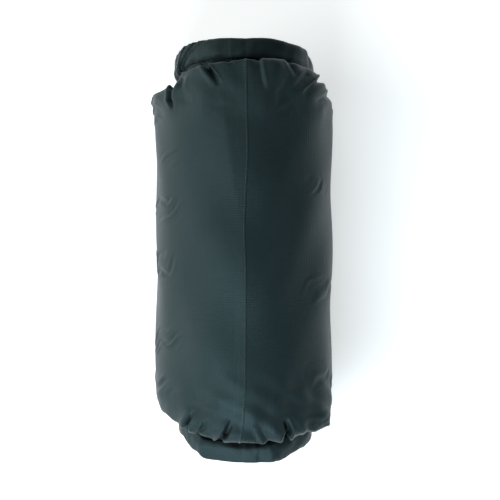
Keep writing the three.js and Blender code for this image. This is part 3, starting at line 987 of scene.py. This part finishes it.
normals = grid_normals(fine_grid)
hollows = HOLLOW_DEPTH * ripples(fine_grid * (1, 0.6, 1), HOLLOW_LENGTH, 31)
hollows = hollows * smoothstep(0, 0.02, fine_grid[..., 2])
height += gathers(fine_grid) + tension_wrinkles(fine_grid)
height += hollows + tight_line(fine_grid)
to_mouth = np.minimum(reach["head"], reach["foot"])
height = np.maximum(height, -ROOM_NEAR_MOUTH * to_mouth) * smoothstep(0, 2 * MM, to_mouth)
smooth_grid = fine_grid - normals * np.maximum(-height, 0)[..., None]
inward = -normals
fine_grid = hold_behind_rolls(fine_grid + normals * height[..., None], 1.5 * MM, spare=1 * MM)
fine_grid = tuck_into_rolls(clear_of_rolls(fine_grid))
# Painted shade on the last stretch of cloth before each roll.
for end in ENDS:
    painted_shading = np.maximum(painted_shading, smoothstep(*SHADE_BEFORE_ROLL, reach[end]))
fine_grid[..., 2] = np.maximum(fine_grid[..., 2], 0.0)
normals = grid_normals(fine_grid)
print(f"creased cloth: {100 * (painted_shading > 0.5).mean():.1f} % of all points")

# %% [markdown]
# ## Two halves on one sack
#
# One piece can bend between two bodies only, so the sack is made as a head half and a foot half that
# meet at mid-length. Both take their shading from the whole surface, so the join can't be seen. The
# painted shade of the folds and of the cloth before the rolls goes with them, for the finish to read.

# %% The sack's cloth
ROWS = fine_grid.shape[1]
MIDDLE_ROW = ROWS // 2
pattern_y = whole(-lengths["foot"].max(0)[None], lengths["head"].max(0)[None])[0]
pattern_y = np.interp(np.linspace(0, 1, ROWS), np.linspace(0, 1, len(pattern_y)), pattern_y)


def bend_with(piece):
    """Bakes the piece's placing into its points."""
    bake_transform(piece)


def paint_shade(piece, amount):
    """Stores how much painted shade each point gets where little light reaches; the cloth's finish darkens
    by it.
    """
    layer = piece.data.attributes.new("painted_shade", "FLOAT", "POINT")
    layer.data.foreach_set("value", np.ascontiguousarray(amount, np.float32).ravel())


def half_of(array, end):
    return array[:, MIDDLE_ROW:] if end == "head" else array[:, : MIDDLE_ROW + 1]


def sack_half(end):
    grid = half_of(fine_grid, end)
    first_row = MIDDLE_ROW if end == "head" else 0
    across, along, _ = grid.shape
    pattern = (np.arange(across + 1)[:, None] * GIRTH / across, pattern_y[first_row:first_row + along])
    piece = grid_object(f"sack_{end}_half", grid, cloth, closed=True, pattern=pattern)
    piece.data.normals_split_custom_set_from_vertices(half_of(normals, end).reshape(-1, 3).tolist())
    # Painted shade of the folds and of the cloth before the rolls goes with each half.
    paint_shade(piece, half_of(painted_shading, end))
    bend_with(piece)
    return piece


halves = [sack_half(end) for end in ENDS]
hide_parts("sack_panel")
print("sack halves:", [len(half.data.vertices) for half in halves])

# %% [markdown]
# ## The back seam
#
# The tube is closed by one lapped seam down the back. One edge of cloth lies over the other and is
# sewn down near its free edge, so the seam shows as a fine step with a row of stitches beside it. The
# lap is its own strip, laid on the finished surface. Sewing draws the cloth in a little, so the seam
# wanders, most of all where the foot is twisted.

# %% Seam lap
# Where the seam's free edge lies: places along the sack, and how far round from its top, in metres.
SEAM_ROUTE_Y = np.array([-0.24, -0.215, -0.19, -0.15, -0.03, 0.03, 0.1, 0.145, 0.24])
SEAM_ROUTE_U = np.array([-6.0, -5.0, 0.0, 2.5, 3.2, 1.6, 5.2, 4.4, 3.0]) * MM
LAP_WIDTH = 14 * MM
LAP_HEIGHT = 0.8 * MM
# The lap's section: share of its width, and height in lap heights.
LAP_SHAPE = [(-1, -0.1), (-0.75, 0.07), (-0.5, 0.25), (-0.25, 0.55), (-0.08, 0.9), (0, 0.8), (0.01, -0.3)]


def on_cloth(rows, across, lift):
    """Points on the cloth at fractional rows and distances round from the top, lifted off it."""
    columns = across / (GIRTH / fine_grid.shape[0])
    c0 = np.floor(columns).astype(int)
    r0 = np.clip(np.floor(rows).astype(int), 0, ROWS - 2)
    fc = (columns - c0)[..., None]
    fr = (rows - r0)[..., None]

    def sample(field):
        wrap = fine_grid.shape[0]
        near = field[c0 % wrap, r0] * (1 - fr) + field[c0 % wrap, r0 + 1] * fr
        far = field[(c0 + 1) % wrap, r0] * (1 - fr) + field[(c0 + 1) % wrap, r0 + 1] * fr
        return near * (1 - fc) + far * fc

    return sample(fine_grid) + sample(normals) * np.asarray(lift)[..., None]


def seam_place(rows):
    """How far round from the top the seam's free edge lies, at each row."""
    y = np.interp(rows, np.arange(ROWS), fine_grid[0, :, 1])
    return np.interp(y, SEAM_ROUTE_Y, SEAM_ROUTE_U)


def cloth_strip(name, end, section, width, material, short=0.0):
    """A strip that follows the seam; its closed section is (share of width, lift) points."""
    rows = np.arange(MIDDLE_ROW, ROWS) if end == "head" else np.arange(0, MIDDLE_ROW + 1)
    rows = rows[reach[end].min(0)[rows] >= short]
    across = [on_cloth(rows.astype(float), seam_place(rows) + share * width, np.full(len(rows), lift))
              for share, lift in section]
    pattern = (np.arange(len(section) + 1)[:, None] * width / len(section), pattern_y[rows])
    piece = grid_object(name, np.stack(across), material, closed=True, pattern=pattern, caps=True)
    bend_with(piece)
    return piece


LAP_SECTION = [(share, lift * LAP_HEIGHT) for share, lift in LAP_SHAPE]
laps = [cloth_strip(f"seam_lap_{end}", end, LAP_SECTION, LAP_WIDTH, cloth) for end in ENDS]
print("seam lap:", [len(lap.data.vertices) for lap in laps], "points")

# %% [markdown]
# ## Stitches
#
# Every stitch is a small rounded thread that dips into the cloth at both ends, since a painted line
# would vanish as soon as the light comes from the side. The thread is a bonded one, a shade lighter
# than the cloth and slightly fuzzy.

# %% Seam stitches
STITCH_PITCH = 3.0 * MM
STITCH_LENGTH = 2.2 * MM
THREAD_RADIUS = 0.24 * MM
# Share of the way along, depth below the line and thickness, the last two in thread radii.
STITCH_SHAPE = [(0, 1, 0.35), (0.12, 0.2, 0.85), (0.5, -0.35, 1), (0.88, 0.2, 0.85), (1, 1, 0.35)]


def stitch(start, finish, up, radius=THREAD_RADIUS, sides=6):
    """One stitch as a rounded thread that dips into the cloth at both ends."""
    along = finish - start
    side, up = unit(np.cross(along, up)), unit(up)
    rings = []
    for share, drop, size in STITCH_SHAPE:
        centre = start + share * along - up * drop * radius
        angle = np.arange(sides) * 2 * math.pi / sides
        rings.append(centre + size * radius * (np.cos(angle)[:, None] * side + np.sin(angle)[:, None] * up))
    return np.stack(rings, 1)


def thread_piece(name, stitches, material):
    """Many stitches in one piece."""
    points, faces = [], []
    for rings in stitches:
        across, along, _ = rings.shape
        base = sum(len(block) for block in points)
        points.append(rings.reshape(-1, 3))
        faces += (grid_faces(across, along, True)[:, ::-1] + base).tolist()
        faces += end_caps(across, along, base)
    return mesh_object(name, np.concatenate(points), faces, material)


thread, thread_shader = new_material("bonded_thread", (0.05, 0.07, 0.075), 0.5, Sheen_Weight=0.3)
thread_place = place_on_piece(thread)
bump(thread, thread_shader, noise(thread, thread_place, 3000, 2), 0.05 * MM, 0.5)


def seam_stitches(end):
    first, last = (MIDDLE_ROW, ROWS - 1.5) if end == "head" else (0.5, MIDDLE_ROW)
    line_rows = np.linspace(first, last, 4000)
    across = seam_place(line_rows) - 0.12 * LAP_WIDTH
    lift = np.full(line_rows.shape, 0.84 * LAP_HEIGHT)
    line = on_cloth(line_rows, across, lift)
    above = on_cloth(line_rows, across, lift + 1 * MM) - line
    length = run_length(line)
    stitches = []
    for begin in np.arange(0.4 * MM, length[-1] - STITCH_LENGTH, STITCH_PITCH):
        a, b = np.searchsorted(length, (begin, begin + STITCH_LENGTH))
        stitches.append(stitch(line[a], line[b], above[a]))
    piece = thread_piece(f"seam_stitches_{end}", stitches, thread)
    bend_with(piece)
    return piece


stitch_rows = [seam_stitches(end) for end in ENDS]
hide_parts("seam_thread")
print("seam sewn:", [len(piece.data.polygons) for piece in stitch_rows])

# %% [markdown]
# ## A roll in section
#
# Each mouth is rolled two and a half turns round its stiffener. A solid bar with rounded edges would
# look right from one side only, because the real roll shows its layers at both ends. So the roll is
# made as the cloth lies: one long ribbon whose section is a flattened spiral. Each turn lies inside the
# last one, thinner and less tall.

# %% Roll section
TURNS = 2.6
RIBBON_THICKNESS = 0.35 * MM
SECTION_STEPS = 84
RIBBON_STARTS = math.radians(-110)
# Half thickness and half height of the outer turn, and how much less they get with each turn.
OUTER_TURN = (6.1 * MM, 12.1 * MM)
LESS_PER_TURN = (0.8 * MM, 0.62 * MM)
SQUARENESS = 2 / 4.5


def spiral_section(count):
    """The ribbon's path through the roll as (outward, v) about the roll's middle, from outside in."""
    turn = np.linspace(0, TURNS, count)
    angle = RIBBON_STARTS - 2 * math.pi * turn
    half_thick, half_tall = (outer - less * turn for outer, less in zip(OUTER_TURN, LESS_PER_TURN))
    outward = half_thick * np.sign(np.cos(angle)) * np.abs(np.cos(angle)) ** SQUARENESS
    up = half_tall * np.sign(np.sin(angle)) * np.abs(np.sin(angle)) ** SQUARENESS
    return np.stack([outward, up], -1)


def even_steps(path, count):
    """The same path with points at even distances, and how far along it each one is."""
    length = run_length(path)
    at = np.linspace(0, length[-1], count)
    return np.stack([np.interp(at, length, path[:, k]) for k in range(path.shape[1])], -1), at


def right_of(path):
    """The direction square to a flat path at each point, on its right."""
    way = unit(np.gradient(path, axis=0))
    return np.stack([way[:, 1], -way[:, 0]], -1)


section, section_length = even_steps(spiral_section(1200), SECTION_STEPS)
section_side = right_of(section)
print(f"ribbon in each roll: {section_length[-1]:.3f} m of cloth")

# %% [markdown]
# ## The rolled mouths
#
# The section is carried round the path of its loop. Each roll gets thinner towards its rear edge, where
# the lip of cloth lies over it, and the narrow gap below the lip gets painted shade. Soft random dents
# and a few slanted creases come from the bending, and the creases get painted shade too. The back seam
# runs through the roll too, so its lap lifts the outer turn a little.

# %% Rolled mouths
ROLL_STATIONS = 150
# Towards its rear edge each roll thins: from this height down, to this share, with painted shade below
# this.
REAR_THINNING = {"head": (-6 * MM, 0.6, -8.5 * MM), "foot": (-2 * MM, 0.45, -3.2 * MM)}
SHADE_NARROWING = 6 * MM
# Creases pressed into a roll: angle round the loop and slant in degrees, depth and half width in mm.
CREASES = {
    "head": [(-50, 58, 2.2, 1.8), (-58, 54, 4.2, 2.0), (-67, 46, 4.2, 2.0), (-80, 30, 2.0, 2.2),
             (70, -10, 0.7, 4.0)],
    "foot": [(44, 4, 1.2, 3.0), (-28, -5, 1.2, 3.0), (-70, 6, 0.9, 3.5), (78, -8, 1.0, 3.0)],
}
DENT_SEEDS = {"head": 41, "foot": 59}


def dented(around, up, rho, end):
    """How far soft dents push a roll's cloth out, and how far the whole roll sways."""
    seed = DENT_SEEDS[end]
    where = np.stack(np.broadcast_arrays(around, up, rho * 0.3), -1)
    push = 0.6 * MM * ripples(where, 38 * MM, seed) + 0.25 * MM * ripples(where, 13 * MM, seed + 1)
    return push, 0.9 * MM * ripples(where * (1, 0, 0), 70 * MM, seed + 2)


def roll_fabric(end):
    angles = np.linspace(-ROLL_HALF_ANGLE, ROLL_HALF_ANGLE, ROLL_STATIONS)
    half = section_side * RIBBON_THICKNESS / 2
    ribbon = np.concatenate([section - half, (section + half)[::-1]])
    rho, up = ribbon[:, 0][:, None], ribbon[:, 1][:, None]
    thin_from, thin_to, shade_from = REAR_THINNING[end]
    thinning = smoothstep(thin_from, -ROLL_HEIGHT / 2, up)
    rho = rho * (1 + (thin_to - 1) * thinning)
    # Painted shade on the roll's rear edge, in the gap below the lip, narrower towards the ends of the
    # loop.
    shade_from = shade_from - SHADE_NARROWING * smoothstep(0, math.radians(50), np.abs(angles))[None, :]
    painted_shading = smoothstep(0, -2.5 * MM, up - shade_from)
    around = angles[None, :] * ROLL_RADIUS
    push, sway = dented(around, up, rho, end)
    outer_face = smoothstep(-3 * MM, 4 * MM, rho)
    for at, slant, depth, half_width in CREASES[end]:
        offset = around - math.radians(at) * ROLL_RADIUS - math.tan(math.radians(slant)) * up
        d = offset / (half_width * MM)
        lips = 0.4 * np.exp(-(((np.abs(d) - 1.8) / 0.8) ** 2))
        valley = 1.2 * np.exp(-1.3 * np.sqrt(d**2 + 0.05)) * smoothstep(6, 2, np.abs(d))
        push = push + depth * MM * outer_face * (lips - valley)
        # Painted shade along each of the roll's creases.
        painted_shading = np.maximum(painted_shading, smoothstep(1, 5, depth) * np.exp(-(1.2 * d) ** 2) * outer_face)
    lap = smoothstep(-LAP_WIDTH - 0.6 * MM, -LAP_WIDTH, around) * smoothstep(0.6 * MM, 0, around)
    push = push + LAP_HEIGHT * lap * outer_face
    near_end = smoothstep(0, 10 * MM, ROLL_HALF_ANGLE * ROLL_RADIUS - np.abs(around))
    reach_out = rho + push * near_end * smoothstep(1 * MM, 5 * MM, np.abs(rho) + 0.35 * np.abs(up))
    v = ROLL_HEIGHT / 2 + up + sway * near_end
    grid = loop_point(angles[None, :], ROLL_RADIUS + reach_out, v, end)
    along_ribbon = np.r_[section_length, section_length[::-1], section_length[0]]
    pattern = (angles * ROLL_RADIUS, along_ribbon[:, None])
    piece = grid_object(f"{end}_rolled_mouth", grid, cloth, closed=True, pattern=pattern, caps=True)
    paint_shade(piece, painted_shading)
    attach(piece, f"{end}_closure")
    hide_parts(f"{end}_roll_fabric")
    return piece


rolls = [roll_fabric(end) for end in ENDS]
print("rolled mouths:", [len(roll.data.vertices) for roll in rolls])

# %% [markdown]
# ## Sealing tape
#
# The seam is sealed from inside with a heat-bonded tape of clear-grey film. A real one runs on into both
# rolls. This one stops before the folds of the neck: it lies so close under the cloth that it would
# come through where a fold turns sharply, and nobody can look in that far.

# %% Sealing tape
TAPE_WIDTH = 22 * MM
# The tape's section: share of its width, and depth below the cloth in millimetres.
TAPE_DEPTHS = [(-0.5, 0.3), (0.5, 0.3), (0.5, 0.45), (-0.5, 0.45)]
TAPE_SECTION = [(share, -depth * MM) for share, depth in TAPE_DEPTHS]
TAPE_SHORT = 90 * MM

tape, tape_shader = new_material("sealing_tape_film", (0.07, 0.085, 0.085), 0.35, Coat_Weight=0.2)
tape_place = place_on_piece(tape)
tape_marks = noise(tape, tape_place, 260, 3)
color_between(tape, tape_shader, tape_marks, (0.05, 0.065, 0.065), (0.09, 0.105, 0.1))
bump(tape, tape_shader, tape_marks, 0.1 * MM, 0.4)

tapes = [cloth_strip(f"seam_tape_{end}", end, TAPE_SECTION, TAPE_WIDTH, tape, TAPE_SHORT)
         for end in ENDS]
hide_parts("seam_tape")
print("sealing tape:", [len(piece.data.vertices) for piece in tapes], "points")

# %% [markdown]
# ## Strips inside the rolls
#
# Each roll is wound round a thin plastic strip and a folded hem tape. They hardly show, but the sack
# can be opened, so they follow the same path as the roll that hides them: a strip in the frame's plain
# shape would poke out where the roll has slipped. Both stay well inside the part that thins.

# %% Strips
STRIP_CORNER = 0.4 * MM


def rounded_section(half_a, half_b, corner, steps=3):
    """A closed rounded rectangle, anticlockwise."""
    points = []
    for k, (sa, sb) in enumerate([(1, 1), (-1, 1), (-1, -1), (1, -1)]):
        turn = math.pi / 2 * (k + np.arange(steps + 1) / steps)
        a = sa * (half_a - corner) + corner * np.cos(turn)
        b = sb * (half_b - corner) + corner * np.sin(turn)
        points.append(np.stack([a, b], -1))
    return np.concatenate(points)


def strip_in_roll(name, end, inner, outer, half_height, material, slot, node):
    angles = np.linspace(-1, 1, 120) * (ROLL_HALF_ANGLE - STRIP_CORNER / ROLL_RADIUS)
    section = rounded_section((outer - inner) / 2, half_height, min(STRIP_CORNER, (outer - inner) / 2.2))
    radius = ROLL_RADIUS + (inner + outer) / 2 + section[:, :1]
    grid = loop_point(angles[None, :], radius, ROLL_HEIGHT / 2 + section[:, 1:], end)
    piece = grid_object(name, grid, material, closed=True, caps=True)
    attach(piece, f"{end}_closure")
    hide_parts(node)
    return piece


strip_plastic, strip_shader = new_material("strip_plastic", (0.03, 0.033, 0.034), 0.4)
strip_place = place_on_piece(strip_plastic)
strip_grain = noise(strip_plastic, stretch(strip_plastic, strip_place, (300, 300, 900)), 1, 3)
link(strip_plastic, ramp(strip_plastic, strip_grain, 0.3, 0.5), strip_shader.inputs["Roughness"])
color_between(strip_plastic, strip_shader, strip_grain, (0.02, 0.023, 0.024), (0.045, 0.048, 0.05))
bump(strip_plastic, strip_shader, strip_grain, 0.05 * MM, 0.4)

# Each strip: its inner and outer face, measured out from the middle of the roll, and its half height.
STIFFENER = (-1.6 * MM, -0.1 * MM, 9.5 * MM)
HEM = (0.9 * MM, 1.7 * MM, 7.5 * MM)
for end in ENDS:
    plastic = (strip_plastic, "strip_plastic", f"{end}_stiffener")
    strip_in_roll(f"{end}_stiffening_strip", end, *STIFFENER, *plastic)
    strip_in_roll(f"{end}_folded_hem", end, *HEM, tape, "sealing_tape", f"{end}_hem_tape")
print("inside strips follow the rolls")

# %% [markdown]
# ## What is packed inside
#
# The load is a roll of quilted bedding that fills the sack. It is the blown-up shape again, drawn in
# further than the deepest fold and ending well short of both mouths, so it can never show through.

# %% Packed bedding
LOAD_DRAWN_IN = 16 * MM
LOAD_SHORT = 125 * MM
# Bedding has no fine folds, so every fourth line of cloth and every third row are enough for it.
LOAD_EVERY = (4, 3)

wadding, wadding_shader = new_material("quilted_wadding", (0.55, 0.55, 0.52), 0.95, Sheen_Weight=0.3)
wadding_place = place_on_piece(wadding)
fluff = noise(wadding, wadding_place, 120, 6)
color_between(wadding, wadding_shader, fluff, (0.42, 0.42, 0.4), (0.62, 0.62, 0.59))
bump(wadding, wadding_shader, fluff, 2 * MM, 0.6)


def packed_bedding():
    clear = np.minimum(reach["head"], reach["foot"]).min(0)
    rows = [row for row in range(0, ROWS, LOAD_EVERY[1]) if clear[row] > LOAD_SHORT]
    grid = (smooth_grid + inward * LOAD_DRAWN_IN)[::LOAD_EVERY[0], rows]
    piece = grid_object("packed_bedding", grid, wadding, closed=True, caps=True)
    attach(piece, "sack")
    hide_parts("packed_load")
    return piece


bedding = packed_bedding()
print("bedding:", len(bedding.data.vertices), "points")

# %% [markdown]
# ## The path of a webbing tab
#
# A flat webbing is one long ribbon folded round each bar of the buckle and sewn back on itself inside
# the roll. So each tab is a ribbon swept along that real path: out of the roll on the outside, round
# the bar and back on the inside. Both plies lie together, but for a small teardrop round the bar.

# %% Tab path
WEBBING_THICKNESS = 1.4 * MM
WEBBING_HALF_WIDTH = 10 * MM
TAB_IN_ROLL = 12 * MM
TAB_BEND = 13 * MM
BAR_X = {"socket": -35 * MM, "plug": 11 * MM}
BAR_LOOP = 3.1 * MM
TEARDROP = 8 * MM
PLY_OFFSET = WEBBING_THICKNESS / 2 + 0.04 * MM
EXIT_ANGLE = math.pi - ROLL_HALF_ANGLE
END_X, END_W = ROLL_RADIUS * math.sin(ROLL_HALF_ANGLE), ROLL_RADIUS * math.cos(ROLL_HALF_ANGLE)


def tab_path(side):
    """The ribbon's middle as (x, w), for a tab on the +x side, out on the outside and back inside."""
    bar_x = abs(BAR_X[side]) if side == "socket" else BAR_X[side]
    inside = ROLL_HALF_ANGLE - np.linspace(TAB_IN_ROLL / ROLL_RADIUS, 0, 8, endpoint=False)
    line = [np.stack([ROLL_RADIUS * np.sin(inside), ROLL_RADIUS * np.cos(inside)], -1)]
    turn = np.linspace(EXIT_ANGLE, 0, 14)
    line.append(np.stack([END_X - TAB_BEND * (math.sin(EXIT_ANGLE) - np.sin(turn)),
                          END_W - TAB_BEND * (np.cos(turn) - math.cos(EXIT_ANGLE))], -1))
    stop = END_X - TAB_BEND * math.sin(EXIT_ANGLE)
    x = np.linspace(stop, bar_x, 40)[1:]
    line.append(np.stack([x, np.full(x.shape, BUCKLE_W)], -1))
    line = np.concatenate(line)
    side_way = -right_of(line)
    spread = PLY_OFFSET + (BAR_LOOP - PLY_OFFSET) * smoothstep(bar_x + TEARDROP, bar_x, line[:, 0])
    spread = np.where(line[:, 1] > BUCKLE_W + 1 * MM, PLY_OFFSET, spread)[:, None]
    around = np.radians(np.linspace(-90, -270, 16)[1:-1])
    bar = np.stack([bar_x + BAR_LOOP * np.cos(around), BUCKLE_W + BAR_LOOP * np.sin(around)], -1)
    out, back = line + side_way * spread, line - side_way * spread
    if out[-1, 1] > back[-1, 1]:
        out, back = back, out
    return np.concatenate([out, bar, back[::-1]])


# %% [markdown]
# ## Webbing finish
#
# Webbing is a coarse weave: thick yarns cross in close rows like small bricks, and both edges are bound
# tight. Two sets of waves across each other make the bricks, and fine noise on top makes the fuzz.

# %% Webbing finish
WEBBING_ROWS = 480
WEBBING_YARNS = 640


def make_webbing():
    material, shader = new_material(
        "woven_webbing", (0.012, 0.015, 0.016), 0.7, Sheen_Weight=0.25, Sheen_Roughness=0.4
    )
    pattern = place_on_pattern(material)
    rows = waves(material, pattern, WEBBING_ROWS, "Y")
    yarns = waves(material, pattern, WEBBING_YARNS, "X")
    bricks = math_node(material, "MULTIPLY", rows, yarns)
    fuzz = noise(material, pattern, 2600, 3)
    height = math_node(material, "ADD", bricks, math_node(material, "MULTIPLY", fuzz, 0.3))
    color_between(material, shader, bricks, (0.006, 0.008, 0.009), (0.022, 0.027, 0.029))
    bump(material, shader, height, 0.35 * MM, 0.8)
    return material


webbing = make_webbing()
print("webbing ready")

# %% [markdown]
# ## Webbing tabs
#
# The ribbon has soft bound edges, so its section is a thin rounded bar that gets thinner at its sides.
# The socket's tab goes with its closure; the plug's tab is left unattached, because the plug slides out
# of its socket while the roll stays where it is.

# %% Webbing tabs
EDGE_THINNING = 0.12


def webbing_tab(end, side):
    path, _ = even_steps(tab_path(side), 150)
    facing = -right_of(path)
    section = rounded_section(WEBBING_THICKNESS / 2, WEBBING_HALF_WIDTH, 0.55 * MM)
    edge_thin = 1 - EDGE_THINNING * smoothstep(0.8, 1.0, np.abs(section[:, 1]) / WEBBING_HALF_WIDTH)
    mirror = 1 if side == "plug" else -1
    x = path[None, :, 0] + section[:, :1] * edge_thin[:, None] * facing[None, :, 0]
    w = path[None, :, 1] + section[:, :1] * edge_thin[:, None] * facing[None, :, 1]
    v = ROLL_HEIGHT / 2 + np.broadcast_to(section[:, 1:], x.shape)
    grid = place(np.stack([mirror * x, v, w], -1), end)
    grid = grid if (mirror > 0) else grid[::-1]
    travelled = run_length(path)
    across_webbing = (section if mirror > 0 else section[::-1])[:, 1]
    pattern = (np.r_[across_webbing, across_webbing[0]][:, None], travelled)
    piece = grid_object(f"{end}_{side}_webbing", grid, webbing, closed=True, pattern=pattern, caps=True)
    if side == "plug":
        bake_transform(piece)
    else:
        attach(piece, f"{end}_closure")
    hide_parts(f"{end}_{side}_tab")
    return piece


tabs = [webbing_tab(end, side) for end in ENDS for side in BAR_X]
print("webbing tabs:", len(tabs))

# %% [markdown]
# ## Tacks
#
# Both plies of a tab are held together by a bar tack: a dense zigzag sewn right across the webbing. It
# is what stops the seam from tearing when the strap is pulled, so each stroke of it is a real thread.

# %% Bar tacks
TACK_LENGTH = 3 * MM
TACK_HALF_WIDTH = 8 * MM
TACK_STROKES = 26
TACK_THREAD_RADIUS = 0.3 * MM


def bar_tack(end, side):
    reach_x = END_X - TAB_BEND * math.sin(EXIT_ANGLE)
    mirror = 1 if side == "plug" else -1
    stitches = []
    for face in (-1, 1):
        level = BUCKLE_W + face * (2 * PLY_OFFSET - 0.02 * MM + WEBBING_THICKNESS * 0.03)
        up = place((0, 0, face), end) - place((0, 0, 0), end)
        for k in range(TACK_STROKES):
            v = ROLL_HEIGHT / 2 + TACK_HALF_WIDTH * (2 * np.array([k, k + 1]) / TACK_STROKES - 1)
            ends_x = np.array([0, TACK_LENGTH])[:: 1 if k % 2 else -1]
            a, b = (place((mirror * (reach_x - ends_x[n]), v[n], level), end) for n in (0, 1))
            stitches.append(stitch(a, b, up, radius=TACK_THREAD_RADIUS))
    piece = thread_piece(f"{end}_{side}_bar_tack", stitches, thread)
    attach(piece, f"{end}_closure")
    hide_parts(f"{end}_{side}_tack")
    return piece


tacks = [bar_tack(end, side) for end in ENDS for side in BAR_X]
print("bar tacks:", len(tacks))

# %% [markdown]
# ## Moulded buckles
#
# The buckle's parts already have their true shape in the frame, so they only need what moulding leaves:
# edges slightly rounded by the tool, and a dull black surface with a fine spark-eroded grain that has
# been polished by handling.

# %% Buckle finish
EDGE_ROUND = 0.5 * MM
ROUNDED_ABOVE = math.radians(40)
BUCKLE_PARTS = ("buckle_socket", "buckle_plug", "latch_outer", "latch_inner")


def make_moulded():
    material, shader = new_material("moulded_acetal", (0.012, 0.013, 0.014), 0.42, Coat_Weight=0.05)
    spot = place_on_piece(material)
    grain = noise(material, spot, 2400, 2)
    wear = noise(material, spot, 90, 4)
    color_between(material, shader, wear, (0.008, 0.009, 0.010), (0.02, 0.021, 0.022))
    link(material, ramp(material, wear, 0.34, 0.55), shader.inputs["Roughness"])
    bump(material, shader, grain, 0.08 * MM, 0.5)
    return material


moulded = make_moulded()
for end in ENDS:
    for part in BUCKLE_PARTS:
        node = frame["nodes"][f"{end}_{part}"]
        node.data.materials.clear()
        node.data.materials.append(moulded)
        rounding = node.modifiers.new("edge_round", "BEVEL")
        rounding.width = EDGE_ROUND
        rounding.segments = 2
        rounding.limit_method = "ANGLE"
        rounding.angle_limit = ROUNDED_ABOVE
print("buckles finished:", len(ENDS) * len(BUCKLE_PARTS), "moulded pieces")
